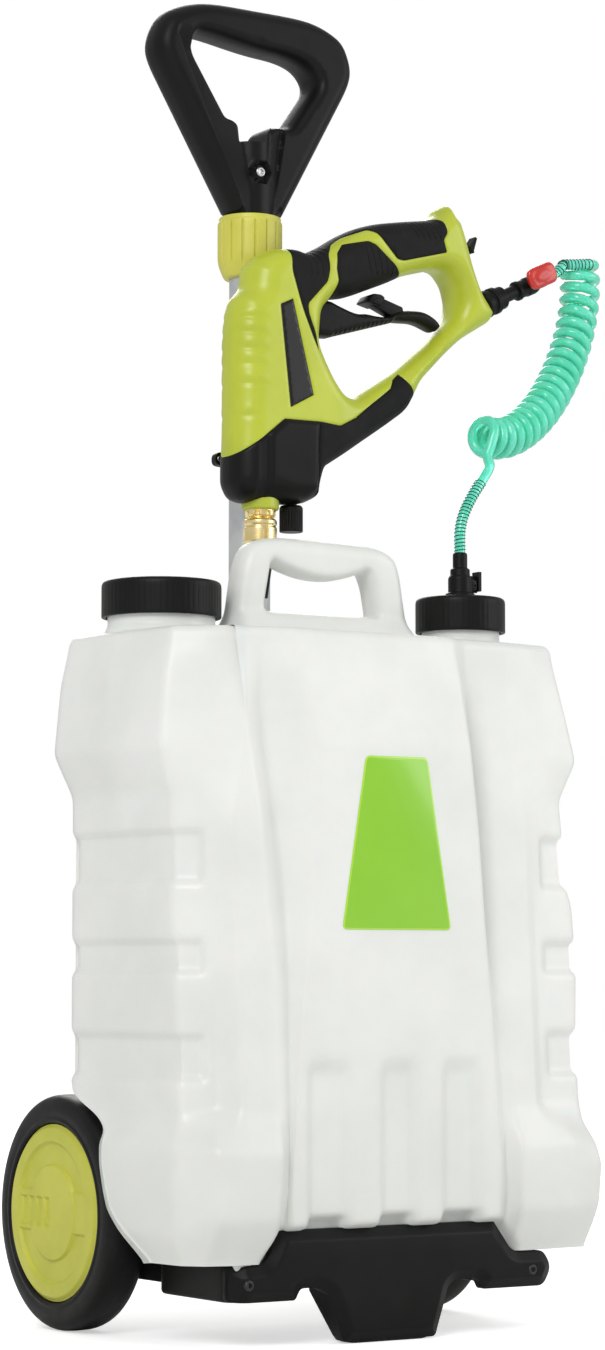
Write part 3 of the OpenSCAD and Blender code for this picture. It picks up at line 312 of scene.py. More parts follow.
LIME = rgb(187, 198, 56)
BLACK = rgb(18, 19, 18)
FINISHES = {
    "tank_plastic": blown_tank(),
    "label_film": printed_film(),
    "black_plastic": moulded("black_plastic", BLACK, rgb(14, 15, 14), 0.8, 0.05, 0.36,
                             rgb(50, 51, 50), Specular_IOR_Level=0.17),
    "soft_grip": grip_rubber(),
    "lime_plastic": moulded("lime_plastic", LIME, rgb(178, 190, 50), 0.8, 0.03, 0.3,
                            rgb(214, 222, 104), Coat_Weight=0.1, Coat_Roughness=0.25),
    "seal_rubber": painted("seal_rubber", rgb(30, 30, 30), rgb(22, 22, 22), 0.6),
    "tyre_rubber": tyre_rubber(),
    "bearing_plastic": painted("bearing_plastic", rgb(226, 226, 218), rgb(206, 206, 198), 0.4),
    "pole_metal": satin_metal("pole_metal", rgb(222, 223, 224), rgb(202, 204, 206), 0.22,
                              (1, 1, 0.02)),
    "steel": satin_metal("steel", rgb(196, 197, 198), rgb(166, 167, 170), 0.25, (1, 1, 1)),
    "brass": satin_metal("brass", rgb(252, 232, 172), rgb(240, 214, 146), 0.18, (0.1, 0.1, 2)),
    "motor_can": painted("motor_can", rgb(150, 152, 156), rgb(130, 132, 136), 0.4),
    "cell_wrap": painted("cell_wrap", rgb(40, 96, 196), rgb(34, 84, 176), 0.25),
    "red_plastic": moulded("red_plastic", rgb(206, 44, 34), rgb(186, 34, 28), 0.8, 0.02, 0.26,
                           rgb(226, 96, 84), Coat_Weight=0.3, Coat_Roughness=0.15),
    "hose_plastic": clear_hose(),
}
WHEEL_LIME = moulded("wheel_cap_plastic", rgb(198, 198, 72), rgb(186, 188, 62), 0.8, 0.04, 0.34,
                     rgb(214, 214, 112))
COLLAR_LIME = moulded("collar_plastic", rgb(210, 206, 86), rgb(198, 194, 76), 0.8, 0.04, 0.36,
                      rgb(224, 220, 120))
PLATE_BLACK = moulded("plate_plastic", rgb(20, 21, 20), rgb(15, 16, 15), 0.8, 0.02, 0.24,
                      Specular_IOR_Level=0.35)
BORDER_FILM = film_border()
DARK_STEEL = painted("blackened_steel", rgb(34, 35, 34), rgb(24, 25, 24), 0.3)

slots = {row["node"]: row["material_slot"] for row in frame["record"]["subparts"]}
for node_name, solid in nodes.items():
    solid.data.materials.clear()
    solid.data.materials.append(FINISHES[slots[node_name]])

# ---------------------------------------------------------------- mesh tools


def make(name, shape, slot, body="cart", stands_for=(), place=cart, sharp=32, finish=None):
    """A piece from (points, faces) in millimetres, with its body, slot and finish."""
    points, faces = shape
    mesh = bpy.data.meshes.new(name)
    mesh.from_pydata(place(points).tolist(), [], [list(map(int, face)) for face in faces])
    work = bmesh.new()
    work.from_mesh(mesh)
    bmesh.ops.remove_doubles(work, verts=work.verts, dist=0.002 * MM)
    bmesh.ops.dissolve_degenerate(work, edges=work.edges, dist=0.001 * MM)
    bmesh.ops.recalc_face_normals(work, faces=work.faces)
    work.to_mesh(mesh)
    work.free()
    return dress(name, mesh, slot, body, stands_for, sharp, finish)


def dress(name, mesh, slot, body, stands_for, sharp=32, finish=None):
    mesh.polygons.foreach_set("use_smooth", [True] * len(mesh.polygons))
    mesh.set_sharp_from_angle(angle=math.radians(sharp))
    mesh.materials.clear()
    mesh.materials.append(finish or FINISHES[slot])
    item = bpy.data.objects.new(name, mesh)
    scene.collection.objects.link(item)
    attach(item, body)
    if stands_for:
        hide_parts(*stands_for)
    return item


def join(*shapes):
    """Several (points, faces) as one."""
    points, faces = [], []
    for some_points, some_faces in shapes:
        faces += [[index + len(points) for index in face] for face in some_faces]
        points += [tuple(p) for p in np.asarray(some_points, float)]
    return np.array(points), faces


def soften(outline, reach, closed=True, steps=5):
    """Rounds an outline's corners; a corner's third number is its own reach."""
    result = []
    last = len(outline) - 1
    for i, corner in enumerate(outline):
        here = np.array(corner[:2], float)
        own = corner[2] if len(corner) > 2 else reach
        if own == 0 or (not closed and i in (0, last)):
            result.append(here)
            continue
        before = np.array(outline[i - 1][:2], float) - here
        after = np.array(outline[(i + 1) % len(outline)][:2], float) - here
        cut_before = min(own, 0.45 * np.linalg.norm(before))
        cut_after = min(own, 0.45 * np.linalg.norm(after))
        start = here + before / np.linalg.norm(before) * cut_before
        end = here + after / np.linalg.norm(after) * cut_after
        for t in np.linspace(0, 1, steps + 1):
            result.append((1 - t) ** 2 * start + 2 * t * (1 - t) * here + t * t * end)
    return np.array(result)


def spaced(outline, spacing, closed=True):
    """The outline with points no further apart than spacing."""
    result = []
    count = len(outline)
    for i in range(count if closed else count - 1):
        start, end = outline[i], outline[(i + 1) % count]
        parts = max(1, math.ceil(np.linalg.norm(end - start) / spacing))
        result += [start + (end - start) * k / parts for k in range(parts)]
    if not closed:
        result.append(outline[-1])
    return np.array(result)


def anticlockwise(outline):
    outline = np.asarray(outline, float)
    x, z = outline[:, 0], outline[:, 1]
    area = np.sum(x * np.roll(z, -1) - np.roll(x, -1) * z)
    return outline if area > 0 else outline[::-1]


def inward(outline):
    """Unit ways into an anticlockwise outline at its points."""
    ahead = np.roll(outline, -1, 0) - outline
    ahead /= np.linalg.norm(ahead, axis=1)[:, None] + 1e-9
    way = ahead + np.roll(ahead, 1, 0)
    way /= np.linalg.norm(way, axis=1)[:, None] + 1e-9
    return np.stack([-way[:, 1], way[:, 0]], 1)


def walls(levels, count):
    """The faces between rings of count points each."""
    return [[r * count + i, r * count + (i + 1) % count, (r + 1) * count + (i + 1) % count,
             (r + 1) * count + i] for r in range(levels - 1) for i in range(count)]


def stacked(rings):
    """Closes a stack of rings of equal length into a solid."""
    count = len(rings[0])
    last = (len(rings) - 1) * count
    ends = [list(range(count))[::-1], [last + i for i in range(count)]]
    return np.concatenate(rings), walls(len(rings), count) + ends


def slab(outline, low, high, edge=1.0, way="y", steps=3):
    """A plate between two values of one axis, with rounded edges."""
    outline = anticlockwise(outline)
    ways = inward(outline)
    turns = [math.pi / 2 * s / steps for s in range(steps + 1)]
    side = [(edge * (1 - math.sin(a)), edge * (1 - math.cos(a))) for a in turns]
    rings = [(inset, low + rise) for inset, rise in side]
    rings += [(inset, high - rise) for inset, rise in reversed(side)]
    order = {"x": (2, 0, 1), "y": (0, 2, 1), "z": (0, 1, 2)}[way]
    levels = np.full(len(outline), 1.0)
    return stacked([np.column_stack([outline + ways * inset, level * levels])[:, order]
                    for inset, level in rings])


def lathe(profile, origin=(0, 0, 0), way=(0, 0, 1), sides=96, ripple=None):
    """Turns (radius, height) points about a line; ripple(angle, height) adds to the radius."""
    profile = np.asarray(profile, float)
    angles = np.arange(sides) * math.tau / sides
    radius = np.repeat(profile[:, :1], sides, 1)
    height = np.repeat(profile[:, 1:], sides, 1)
    if ripple is not None:
        radius = np.where(radius > 0, radius + ripple(angles[None, :], height), radius)
    flat = np.stack([radius * np.cos(angles), radius * np.sin(angles), height], -1)
    turn = np.array(Vector((0, 0, 1)).rotation_difference(Vector(way)).to_matrix())
    points = flat.reshape(-1, 3) @ turn.T + np.array(origin, float)
    return points, walls(len(profile), sides)


def inside(points, outline):
    """Which points lie inside an outline."""
    x, z = points[:, 0, None], points[:, 1, None]
    start, end = outline, np.roll(outline, -1, 0)
    crosses = (start[:, 1] > z) != (end[:, 1] > z)
    rise = end[:, 1] - start[:, 1]
    rise = np.where(rise == 0, 1e-9, rise)
    meet = start[:, 0] + (z - start[:, 1]) * (end[:, 0] - start[:, 0]) / rise
    return (np.sum(crosses & (x < meet), 1) % 2) == 1


def away(points, lines):
    """The least distance from each point to some open or closed lines of points."""
    best = np.full(len(points), 1e9)
    for line in lines:
        start, run = line[:-1], line[1:] - line[:-1]
        length = np.sum(run * run, 1) + 1e-12
        for first in range(0, len(points), 2000):
            some = points[first:first + 2000, None, :]
            t = np.clip(np.sum((some - start) * run, 2) / length, 0, 1)
            gap = np.linalg.norm(some - start - t[..., None] * run, axis=2).min(1)
            best[first:first + 2000] = np.minimum(best[first:first + 2000], gap)
    return best


def closed_line(outline):
    return np.concatenate([outline, outline[:1]])


def sheet_of(outer, holes=(), borders=(), spacing=2.4, rings=(0.25, 0.8, 1.7, 3.0, 4.8, 7.2)):
    """Triangles over an outline without its holes, closer together near its edges and
    split along the borders. Gives the points, the triangles and the edge lines."""
    loops = [anticlockwise(spaced(outer, 1.6))]
    loops += [anticlockwise(spaced(hole, 1.6))[::-1] for hole in holes]
    edge_lines = [closed_line(loop) for loop in loops]
    border_lines = [spaced(border, 1.6, False) for border in borders]
    points, edges = [], []
    for line in loops + border_lines:
        first = len(points)
        count = len(line)
        is_loop = any(line is loop for loop in loops)
        points += [tuple(p) for p in line]
        edges += [(first + i, first + (i + 1) % count) for i in range(count if is_loop else count - 1)]
    extra = []
    for loop in loops:
        ways = inward(loop)
        for ring in rings:
            moved = loop + ways * ring
            extra.append(moved[away(moved, edge_lines) > 0.9 * ring])
    for line in border_lines:
        run = np.gradient(line, axis=0)
        run /= np.linalg.norm(run, axis=1)[:, None] + 1e-9
        across = np.stack([-run[:, 1], run[:, 0]], 1)
        for offset in (-1.1, -0.45, 0.45, 1.1):
            moved = line + across * offset
            extra.append(moved[away(moved, border_lines) > 0.9 * abs(offset)])
    low, high = loops[0].min(0), loops[0].max(0)
    grid_x, grid_z = np.meshgrid(np.arange(low[0], high[0], spacing),
                                 np.arange(low[1], high[1], spacing * 0.87))
    grid_x[1::2] += spacing / 2
    grid = np.stack([grid_x.ravel(), grid_z.ravel()], 1)
    grid = grid[away(grid, edge_lines) > rings[-1] + 0.4 * spacing]
    extra.append(grid)
    extra = np.concatenate(extra)
    if border_lines:
        near = away(extra, border_lines)
        extra = extra[(near > 0.35)]
    extra = extra[inside(extra, loops[0]) & (away(extra, edge_lines) > 0.2)]
    for hole in loops[1:]:
        extra = extra[~inside(extra, hole)]
    points = [Vector(p) for p in points] + [Vector(p) for p in extra]
    found = delaunay_2d_cdt(points, edges, [], 0, 1e-4)
    flat = np.array([tuple(v) for v in found[0]])
    triangles = np.array([tuple(face) for face in found[2]])
    middle = flat[triangles].mean(1)
    keep = inside(middle, loops[0])
    for hole in loops[1:]:
        keep &= ~inside(middle, hole)
    return flat, triangles[keep], edge_lines


def dome(distance, half, reach, power=2.2):
    """Height of a rounded edge that reaches its full half thickness at reach. The edge
    itself keeps a low wall, so that the two faces meet along a strip."""
    t = np.clip((distance + 0.16) / reach, 0, 1)
    return half * (1 - (1 - t) ** power) ** (1 / power)


def ramp(value, low, high):
    """Smooth 0 to 1 from low to high, which may be the lower one."""
    t = np.clip((value - low) / (high - low), 0, 1)
    return t * t * (3 - 2 * t)


def rim_of(triangles):
    """The edges that only one triangle has."""
    seen = {}
    for a, b, c in triangles.tolist():
        for edge in ((a, b), (b, c), (c, a)):
            key = (min(edge), max(edge))
            seen[key] = None if key in seen else edge
    return [edge for edge in seen.values() if edge is not None]


def both_faces(flat, triangles, height, middle, back_height=None):
    """Closes a sheet into a solid that stands height to both sides of a middle plane."""
    count = len(flat)
    behind = height if back_height is None else back_height
    front = np.column_stack([flat[:, 0], middle - height, flat[:, 1]])
    back = np.column_stack([flat[:, 0], middle + behind, flat[:, 1]])
    faces = triangles.tolist() + (triangles[:, ::-1] + count).tolist()
    faces += [[b, a, a + count, b + count] for a, b in rim_of(triangles)]
    return np.concatenate([front, back]), faces


def one_face(flat, triangles, height, middle, side, rim=()):
    """One side of such a solid, with the strip down to its middle plane along a rim."""
    count = len(flat)
    points = np.column_stack([flat[:, 0], middle + side * height, flat[:, 1]])
    level = np.column_stack([flat[:, 0], np.full(count, float(middle)), flat[:, 1]])
    faces = triangles.tolist()
    own = set(map(tuple, np.concatenate([triangles[:, [0, 1]], triangles[:, [1, 2]],
                                         triangles[:, [2, 0]]]).tolist()))
    faces += [[b, a, a + count, b + count] for a, b in rim if (a, b) in own]
    points = np.concatenate([points, level])
    used = sorted({index for face in faces for index in face})
    index = {old: new for new, old in enumerate(used)}
    return points[used], [[index[i] for i in face] for face in faces]


def rounded_copy(node, width, body="cart"):
    """A copy of a solid whose sharp edges are rounded."""
    mesh = nodes[node].data.copy()
    work = bmesh.new()
    work.from_mesh(mesh)
    bmesh.ops.remove_doubles(work, verts=work.verts, dist=0.01 * MM)
    bmesh.ops.dissolve_limit(work, angle_limit=math.radians(1.0), verts=work.verts,
                             edges=work.edges)
    bmesh.ops.recalc_face_normals(work, faces=work.faces)
    work.to_mesh(mesh)
    work.free()
    item = dress(node + "_dressed", mesh, slots[node], body, (node,), 40)
    bevel = item.modifiers.new("rounding", "BEVEL")
    bevel.width = width * MM
    bevel.segments = 2
    bevel.limit_method = "ANGLE"
    bevel.angle_limit = math.radians(38)
    bevel.harden_normals = True


# ---------------------------------------------------------------- hose

HOSE_D = 7.5
COIL_R = (31 - HOSE_D) / 2
COIL_TURNS = 21
COIL_START = 270
COIL_PATH = np.array([[272, 52, 780], [286, 58, 722], [210, 26, 622], [146, 6, 632]], float)
LEAD_ROUTE = [[232.3, 43, 762.6], [238.5, 43, 765.4], [244, 42.5, 769.6], [248, 42, 773.3]]
TAIL_ROUTE = [[142, -10, 607], [136, -11, 598], [128, -12, 588], [121, -12, 577],
              [116, -12, 566], [114, -12, 556], [114, -12, 546], [114, -12, 531]]
STEPS_PER_TURN = 28


def unit(way):
    return way / np.linalg.norm(way)


def coil_point(u):
    t = u + 0.024 * math.sin(math.tau * u)
    p, s = COIL_PATH, 1 - t
    middle = s ** 3 * p[0] + 3 * t * s * s * p[1] + 3 * t * t * s * p[2] + t ** 3 * p[3]
    slope = 3 * s * s * (p[1] - p[0]) + 6 * t * s * (p[2] - p[1]) + 3 * t * t * (p[3] - p[2])
    level = unit(np.cross(slope, [0.45, 1, 0.1]))
    upright = unit(np.cross(level, slope))
    turn = math.radians(360 * COIL_TURNS * u + COIL_START)
    return middle + COIL_R * (math.cos(turn) * level + math.sin(turn) * upright)


def smooth_line(points, steps):
    """A curve through points, with its ends as they are."""
    points = np.asarray(points, float)
    padded = np.concatenate([points[:1], points, points[-1:]])
    result = []
    for a, b, c, d in zip(padded, padded[1:], padded[2:], padded[3:]):
        for t in np.arange(steps) / steps:
            result.append(0.5 * (2 * b + (c - a) * t + (2 * a - 5 * b + 4 * c - d) * t * t
                                 + (3 * b - a - 3 * c + d) * t ** 3))
    return np.array(result + [points[-1]])


coil_count = COIL_TURNS * STEPS_PER_TURN
coil_curve = np.array([coil_point(i / coil_count) for i in range(coil_count + 1)])
first_way = unit(coil_curve[1] - coil_curve[0])
last_way = unit(coil_curve[-1] - coil_curve[-2])
coil_ends = (coil_curve[0] - HOSE_D * first_way, coil_curve[-1] + HOSE_D * last_way)
lead_line = smooth_line(LEAD_ROUTE + [coil_ends[0] - HOSE_D * first_way, coil_ends[0],
                                      coil_curve[0]], 5)
tail_line = smooth_line([coil_curve[-1], coil_ends[1], coil_ends[1] + HOSE_D * last_way]
                        + TAIL_ROUTE, 5)
hose_line = np.concatenate([lead_line[:-1], coil_curve, tail_line[1:]])


def tube_curve(name, line, radius, slot, body="cart"):
    data = bpy.data.curves.new(name, "CURVE")
    data.dimensions = "3D"
    data.bevel_depth = radius * MM
    data.bevel_resolution = 5
    data.use_fill_caps = True
    spline = data.splines.new("POLY")
    spline.points.add(len(line) - 1)
    for point, place in zip(spline.points, cart(line)):
        point.co = (*place, 1)
    spline.use_smooth = True
    data.materials.append(FINISHES[slot])
    item = bpy.data.objects.new(name, data)
    scene.collection.objects.link(item)
    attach(item, body)
    return item


hose = tube_curve("curly_hose", hose_line, HOSE_D / 2, "hose_plastic")
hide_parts("hose_lead", "hose_coil", "hose_tail")


def wound_guard(name, line, radius, pitch, wire):
    """A wire wound round a stretch of hose to stop it kinking."""
    steps = np.linalg.norm(np.diff(line, axis=0), axis=1)
    reach = np.concatenate([[0], np.cumsum(steps)])
    count = int(reach[-1] / pitch * 12)
    result = []
    for d in np.linspace(0, reach[-1], count):
        middle = np.array([np.interp(d, reach, line[:, k]) for k in range(3)])
        ahead = np.array([np.interp(d + 1, reach, line[:, k]) for k in range(3)])
        back = np.array([np.interp(d - 1, reach, line[:, k]) for k in range(3)])
        way = unit(ahead - back)
        side = unit(np.cross(way, [0.3, 1, 0.2]))
        turn = math.tau * d / pitch
        result.append(middle + radius * (math.cos(turn) * side
                                         + math.sin(turn) * np.cross(way, side)))
    guard = tube_curve(name, np.array(result), wire, "black_plastic")
    guard.data.bevel_resolution = 2
    return guard


tail_z = tail_line[:, 2]
lower_guard = wound_guard("lower_hose_guard", tail_line[(tail_z < 596) & (tail_z > 531)],
                          HOSE_D / 2 + 0.2, 2.6, 0.3)
upper_guard = wound_guard("upper_hose_guard", hose_line[8:34], HOSE_D / 2 + 0.2, 2.6, 0.28)

# ---------------------------------------------------------------- tank

TANK_TOP = 473
TANK_FOOT = 55
GROOVES = ((172, 32), (242, 24), (301, 37))
GROOVE_DEPTH = 4.5
FLUTES = ((-72, -34), (-14, 19), (36, 71))
FLUTE_DEPTH = 5
TOP_ROUND = 7

# Each row is (height, value), from the foot up
HALF_WIDTH = [(55, 158), (75, 166), (100, 168), (133, 168), (149, 154), (363, 154), (392, 169),
              (440, 164), (466, 158), (478, 156)]
RIGHT_CORNER_X = [(55, 165), (71, 169), (85, 171), (113, 171.5), (127, 169), (141, 164),
                  (155, 164), (200, 163), (250, 165.5), (290, 164), (302, 160), (340, 158),
                  (363, 156), (391, 169.5), (420, 164), (455, 156), (478, 152)]
RIGHT_CORNER_Y = [(55, -86), (71, -92), (85, -97), (113, -100), (127, -96), (141, -88),
                  (155, -84), (250, -80), (302, -76), (363, -73), (391, -76), (420, -72),
                  (455, -68), (478, -65)]
LOBE_LEFT = [(55, 80), (100, 82), (150, 79), (213, 74), (258, 68), (317, 63), (370, 63),
             (395, 66), (425, 71), (455, 78), (478, 80)]
LOBE_RIGHT = [(55, 82), (124, 84), (198, 80), (272, 74), (340, 69), (401, 62), (478, 54)]
LOBE_FRONT = [(55, -90), (80, -97), (395, -97), (440, -92), (466, -85), (478, -80)]
VALLEY_LEFT = [(55, 86), (150, 81), (226, 78.5), (291, 77.4), (344, 82), (410, 90), (478, 100)]
VALLEY_RIGHT = [(55, 96), (102, 94), (184, 90), (250, 84), (314, 80), (389, 75), (478, 69)]
VALLEY_FLOOR = [(55, -86), (100, -93), (150, -91), (226, -86), (291, -78), (344, -74),
                (400, -71), (425, -72), (450, -77), (478, -79)]
SIDE_INNER_LEFT = [(55, 98), (90, 97), (140, 93), (250, 92), (350, 98), (400, 106), (478, 118)]
SIDE_INNER_RIGHT = [(55, 100), (102, 99), (184, 99.5), (266, 93.5), (314, 91), (389, 87.5),
                    (478, 84)]
SIDE_FRONT = [(55, -90), (84, -104), (126, -104), (152, -93), (300, -83), (395, -79), (466, -77),
              (478, -72)]
BEVEL_IN_X = [(55, 124), (132, 124), (156, 118), (340, 118), (395, 108), (478, 106)]
BEVEL_OUT_X = [(55, 142), (134, 142), (154, 127), (348, 127), (364, 130), (478, 130)]
BEVEL_OUT_Y = [(55, -84), (84, -103), (130, -103), (154, -76), (346, -74), (366, -69.5),
               (455, -67), (478, -62)]
CORNER_IN = [(55, 5), (134, 8), (150, 3), (368, 3), (388, 9), (478, 8)]
CORNER_Y = [(55, -72), (90, -76), (125, -76), (148, -67), (193, -65), (226, -62), (258, -60),
            (291, -56), (366, -55), (388, -57), (449, -53), (478, -50)]
BACK_Y = [(55, -43), (88, -8), (118, 1), (137, 1), (141, 6), (166, 78), (440, 78), (478, 70)]
WALL_SEAT_Y = -83.5


def at_level(table, z):
    heights, values = zip(*table)
    return np.interp(z, heights, values)


def tank_half(z, side):
    """Corner points of the tank's level outline on one side, from front to back."""
    lobe = LOBE_RIGHT if side > 0 else LOBE_LEFT
    valley = VALLEY_RIGHT if side > 0 else VALLEY_LEFT
    inner = SIDE_INNER_RIGHT if side > 0 else SIDE_INNER_LEFT
    width = at_level(HALF_WIDTH, z)
    edge = at_level(lobe, z)
    front = at_level(LOBE_FRONT, z)
    shelf = at_level(VALLEY_FLOOR, z)
    side_front = at_level(SIDE_FRONT, z)
    rear = 0 if side > 0 else 4
    if side > 0:
        slant = at_level(BEVEL_OUT_Y, z) * 0.3 + side_front * 0.7
        corner = (at_level(RIGHT_CORNER_X, z), at_level(RIGHT_CORNER_Y, z))
    else:
        slant = at_level(BEVEL_OUT_Y, z)
        corner = (width - at_level(CORNER_IN, z), at_level(CORNER_Y, z))
    return [
        (edge, front),
        (at_level(valley, z), shelf),
        (at_level(inner, z), side_front),
        (at_level(BEVEL_IN_X, z), side_front),
        (at_level(BEVEL_OUT_X, z), slant),
        corner,
        (max(width, corner[0] - 1) + rear / 2, 4),
        (width + 0.5 + rear, 62),
        (width - 8 + rear, 79),
        (41, 78),
        (33, 30),
    ]


# How many points each stretch of the half outline gets, from the middle of the front
STRETCHES = [26, 10, 10, 12, 9, 14, 24, 16, 14, 36, 18, 13]


def tank_level(z):
    right, left = tank_half(z, 1), tank_half(z, -1)
    halves = []
    for corners, side in ((right, 1), (left, -1)):
        line = [(0, corners[0][1])] + corners + [(0, 30)]
        points = []
        for (x0, y0), (x1, y1), count in zip(line, line[1:], STRETCHES):
            t = np.arange(count) / count
            points.append(np.stack([side * (x0 + (x1 - x0) * t), y0 + (y1 - y0) * t], 1))
        halves.append(np.concatenate(points + [np.array([[0, 30]])]))
    level = np.concatenate([halves[0], halves[1][-2:0:-1]])
    level[:, 1] = np.minimum(level[:, 1], at_level(BACK_Y, z))
    return level


def blurred(values, weights, axis, wrap):
    """A running mean along one axis."""
    reach = len(weights) // 2
    mode = "wrap" if wrap else "edge"
    pad = [(0, 0)] * values.ndim
    pad[axis] = (reach, reach)
    wide = np.pad(values, pad, mode=mode)
    total = np.zeros_like(values)
    for k, weight in enumerate(weights):
        total += weight * np.take(wide, range(k, k + values.shape[axis]), axis)
    return total / sum(weights)


def outward_ways(levels):
    run = np.roll(levels, -1, 1) - np.roll(levels, 1, 1)
    run /= np.linalg.norm(run, axis=2)[..., None] + 1e-9
    return np.stack([run[..., 1], -run[..., 0]], -1)


def tank_shape():
    heights = np.concatenate([np.arange(TANK_FOOT, TANK_TOP - TOP_ROUND, 2.5),
                              [TANK_TOP - TOP_ROUND]])
    levels = np.array([tank_level(z) for z in heights])
    levels = blurred(levels, (1, 3, 5, 3, 1), 0, False)
    levels = blurred(levels, (1, 3, 4, 3, 1), 1, True)
    x, y = levels[..., 0], levels[..., 1]
    z = heights[:, None]
    cut = np.zeros_like(x)
    for foot, tall in GROOVES:
        cut = np.maximum(cut, ramp(z, foot, foot + 3.5) * ramp(z, foot + tall, foot + tall - 3.5))
    cut = cut * ramp(np.abs(x), 133.5, 137) * ramp(y, 79, 76)
    levels = levels - outward_ways(levels) * (cut * GROOVE_DEPTH)[..., None]
    front = y < -40
    flute = np.zeros_like(x)
    for low, high in FLUTES:
        flute = np.maximum(flute, ramp(x, low, low + 7) * ramp(x, high, high - 7))
    flute = flute * ramp(z, 190, 174) * front
    levels[..., 1] += FLUTE_DEPTH * flute
    seat_half = 101 - 13 * np.clip((z - 56) / 24, 0, 1)
    seat_top = np.where(flute > 0.5, 81, 74)
    seat = ramp(np.abs(x), seat_half + 3, seat_half) * ramp(z, seat_top + 3, seat_top) * front
    sunk = np.maximum(levels[..., 1], WALL_SEAT_Y)
    levels[..., 1] += (sunk - levels[..., 1]) * seat
    levels = blurred(levels, (1, 4, 1), 0, False)
    levels = blurred(levels, (1, 4, 1), 1, True)
    top = levels[-1]
    ways = outward_ways(blurred(top[None], (1,) * 27, 1, True))[0]
    rings = [np.column_stack([level, np.full(len(level), height)])
             for level, height in zip(levels, heights)]
    for turn in np.radians([18, 36, 54, 72, 90]):
        moved = top - ways * TOP_ROUND * (1 - math.cos(turn))
        height = TANK_TOP - TOP_ROUND * (1 - math.sin(turn))
        rings.append(np.column_stack([moved, np.full(len(moved), height)]))
    return stacked(rings)


make("tank_body", tank_shape(), "tank_plastic", stands_for=("tank",), sharp=60)

for side, word in ((-1, "left"), (1, "right")):
    lug = soften([(side * 106, -87), (side * 121, -87), (side * 121, -73), (side * 106, -73)], 4)
    make("tank_lug_" + word, slab(lug, 50, 60, 2.5, "z"), "tank_plastic", sharp=50)

FILLER = (-118, 14)
OUTLET = (114, -12)
CAP_TOP = 509
CAP_H = 25
# From the cap's top down to the neck's rim
CAP_ROOM = 5.5


def neck(centre, radius):
    """A neck under a cap, which swells where it meets the tank."""
    outline = [(radius + 3, TANK_TOP - 40), (radius + 3, TANK_TOP - 3, 3),
               (radius + 1.5, TANK_TOP + 2), (radius, TANK_TOP + 5),
               (radius, CAP_TOP - CAP_ROOM)]
    return lathe(soften(outline, 1.6, False), (*centre, 0), sides=96)


make("filler_neck", neck(FILLER, 36.7), "tank_plastic")
make("outlet_neck", neck(OUTLET, 27.7), "tank_plastic")

CARRY_OUTER = [(-84, 456, 2), (-84, 471, 6), (-74, 484, 10), (-68, 523, 8), (-61, 538, 9),
               (-42, 543.5, 12), (0, 543.5, 20), (46, 542, 12), (60, 536, 9), (65, 525, 8),
               (71, 488, 10), (80, 471, 6), (80, 456, 2)]
CARRY_OPENING = [(-50, 492, 5), (-43.5, 527, 4), (-32, 521.5, 9), (-12, 516, 12), (8, 515.5, 12),
                 (26, 520, 9), (36, 524.5, 4), (41, 514, 6), (45, 492, 5)]


def carry_handle():
    outer = soften(CARRY_OUTER, 6)
    opening = soften(CARRY_OPENING, 5)
    flat, triangles, lines = sheet_of(outer, [opening])
    height = np.minimum(dome(away(flat, lines[:1]), 13, 10), dome(away(flat, lines[1:]), 13, 5))
    height += 9 * ramp(flat[:, 1], 494, 474) * ramp(away(flat, lines), 0, 6)
    return both_faces(flat, triangles, height, 0)


make("carry_handle", carry_handle(), "tank_plastic", sharp=50)

# The label film on the front of the tank, which is left bare
LABEL = [(-25, 388), (25, 388), (44, 272), (-44, 272)]
label_outline = anticlockwise(soften(LABEL, 4))
make("label_edge", slab(label_outline, -97.5, -96.4, 0.2), "label_film", finish=BORDER_FILM)
make("label_face", slab(label_outline + inward(label_outline) * 1.3, -97.75, -96.4, 0.15),
     "label_film", stands_for=("tank_label",))

# ---------------------------------------------------------------- caps and outlet


def fluted(count, depth, low, high):
    """Rounded grip flutes between two heights."""
    def ripple(angle, height):
        groove = np.cos(angle * count) * 0.5 + 0.5
        return -depth * groove ** 4 * ramp(height, low, low + 2) * ramp(height, high, high - 2)
    return ripple


def screw_cap(radius, flutes, hole=0.0):
    foot = CAP_TOP - CAP_H
    outline = [(hole, CAP_TOP - 0.6), (radius * 0.55, CAP_TOP - 0.6), (radius * 0.6, CAP_TOP),
               (radius, CAP_TOP, 4), (radius, foot, 1), (radius - 3, foot, 0.6),
               (radius - 3, foot + 6)]
    rounded = soften(outline, 1.2, False, 4)
    lines = spaced(rounded, 2.5, False)
    return lines, fluted(flutes, 0.16, foot + 1, CAP_TOP - 3)


filler_lines, filler_ripple = screw_cap(41, 60)
make("filler_cap_dressed", lathe(filler_lines, (*FILLER, 0), sides=480, ripple=filler_ripple),
     "black_plastic", "filler_lid", ("filler_cap",), sharp=50)
outlet_lines, outlet_ripple = screw_cap(32, 48, 7.3)
make("outlet_cap_dressed", lathe(outlet_lines, (*OUTLET, 0), sides=384, ripple=outlet_ripple),
     "black_plastic", "outlet_lid", ("outlet_cap",), sharp=50)

COUPLING = [(7, 509), (10.5, 509.3), (10.5, 512.5), (8.6, 513.4), (8.6, 523.5), (7.8, 525),
            (7, 526), (7, 530), (5.2, 531), (5.2, 541), (4.3, 542)]
make("outlet_coupling_dressed", lathe(soften(COUPLING, 0.7, False), (*OUTLET, 0), sides=64),
     "black_plastic", stands_for=("outlet_coupling",))
for side in (-2, 2):
    ear = soften([(120, 514), (127, 515.5), (127, 522.5), (120, 524)], 2)
    make(f"coupling_ear_{'front' if side < 0 else 'back'}",
         slab(ear, OUTLET[1] + side - 1, OUTLET[1] + side + 1, 0.4), "black_plastic")
rounded_copy("coupling_latch", 0.5, body="latch")

# ---------------------------------------------------------------- base

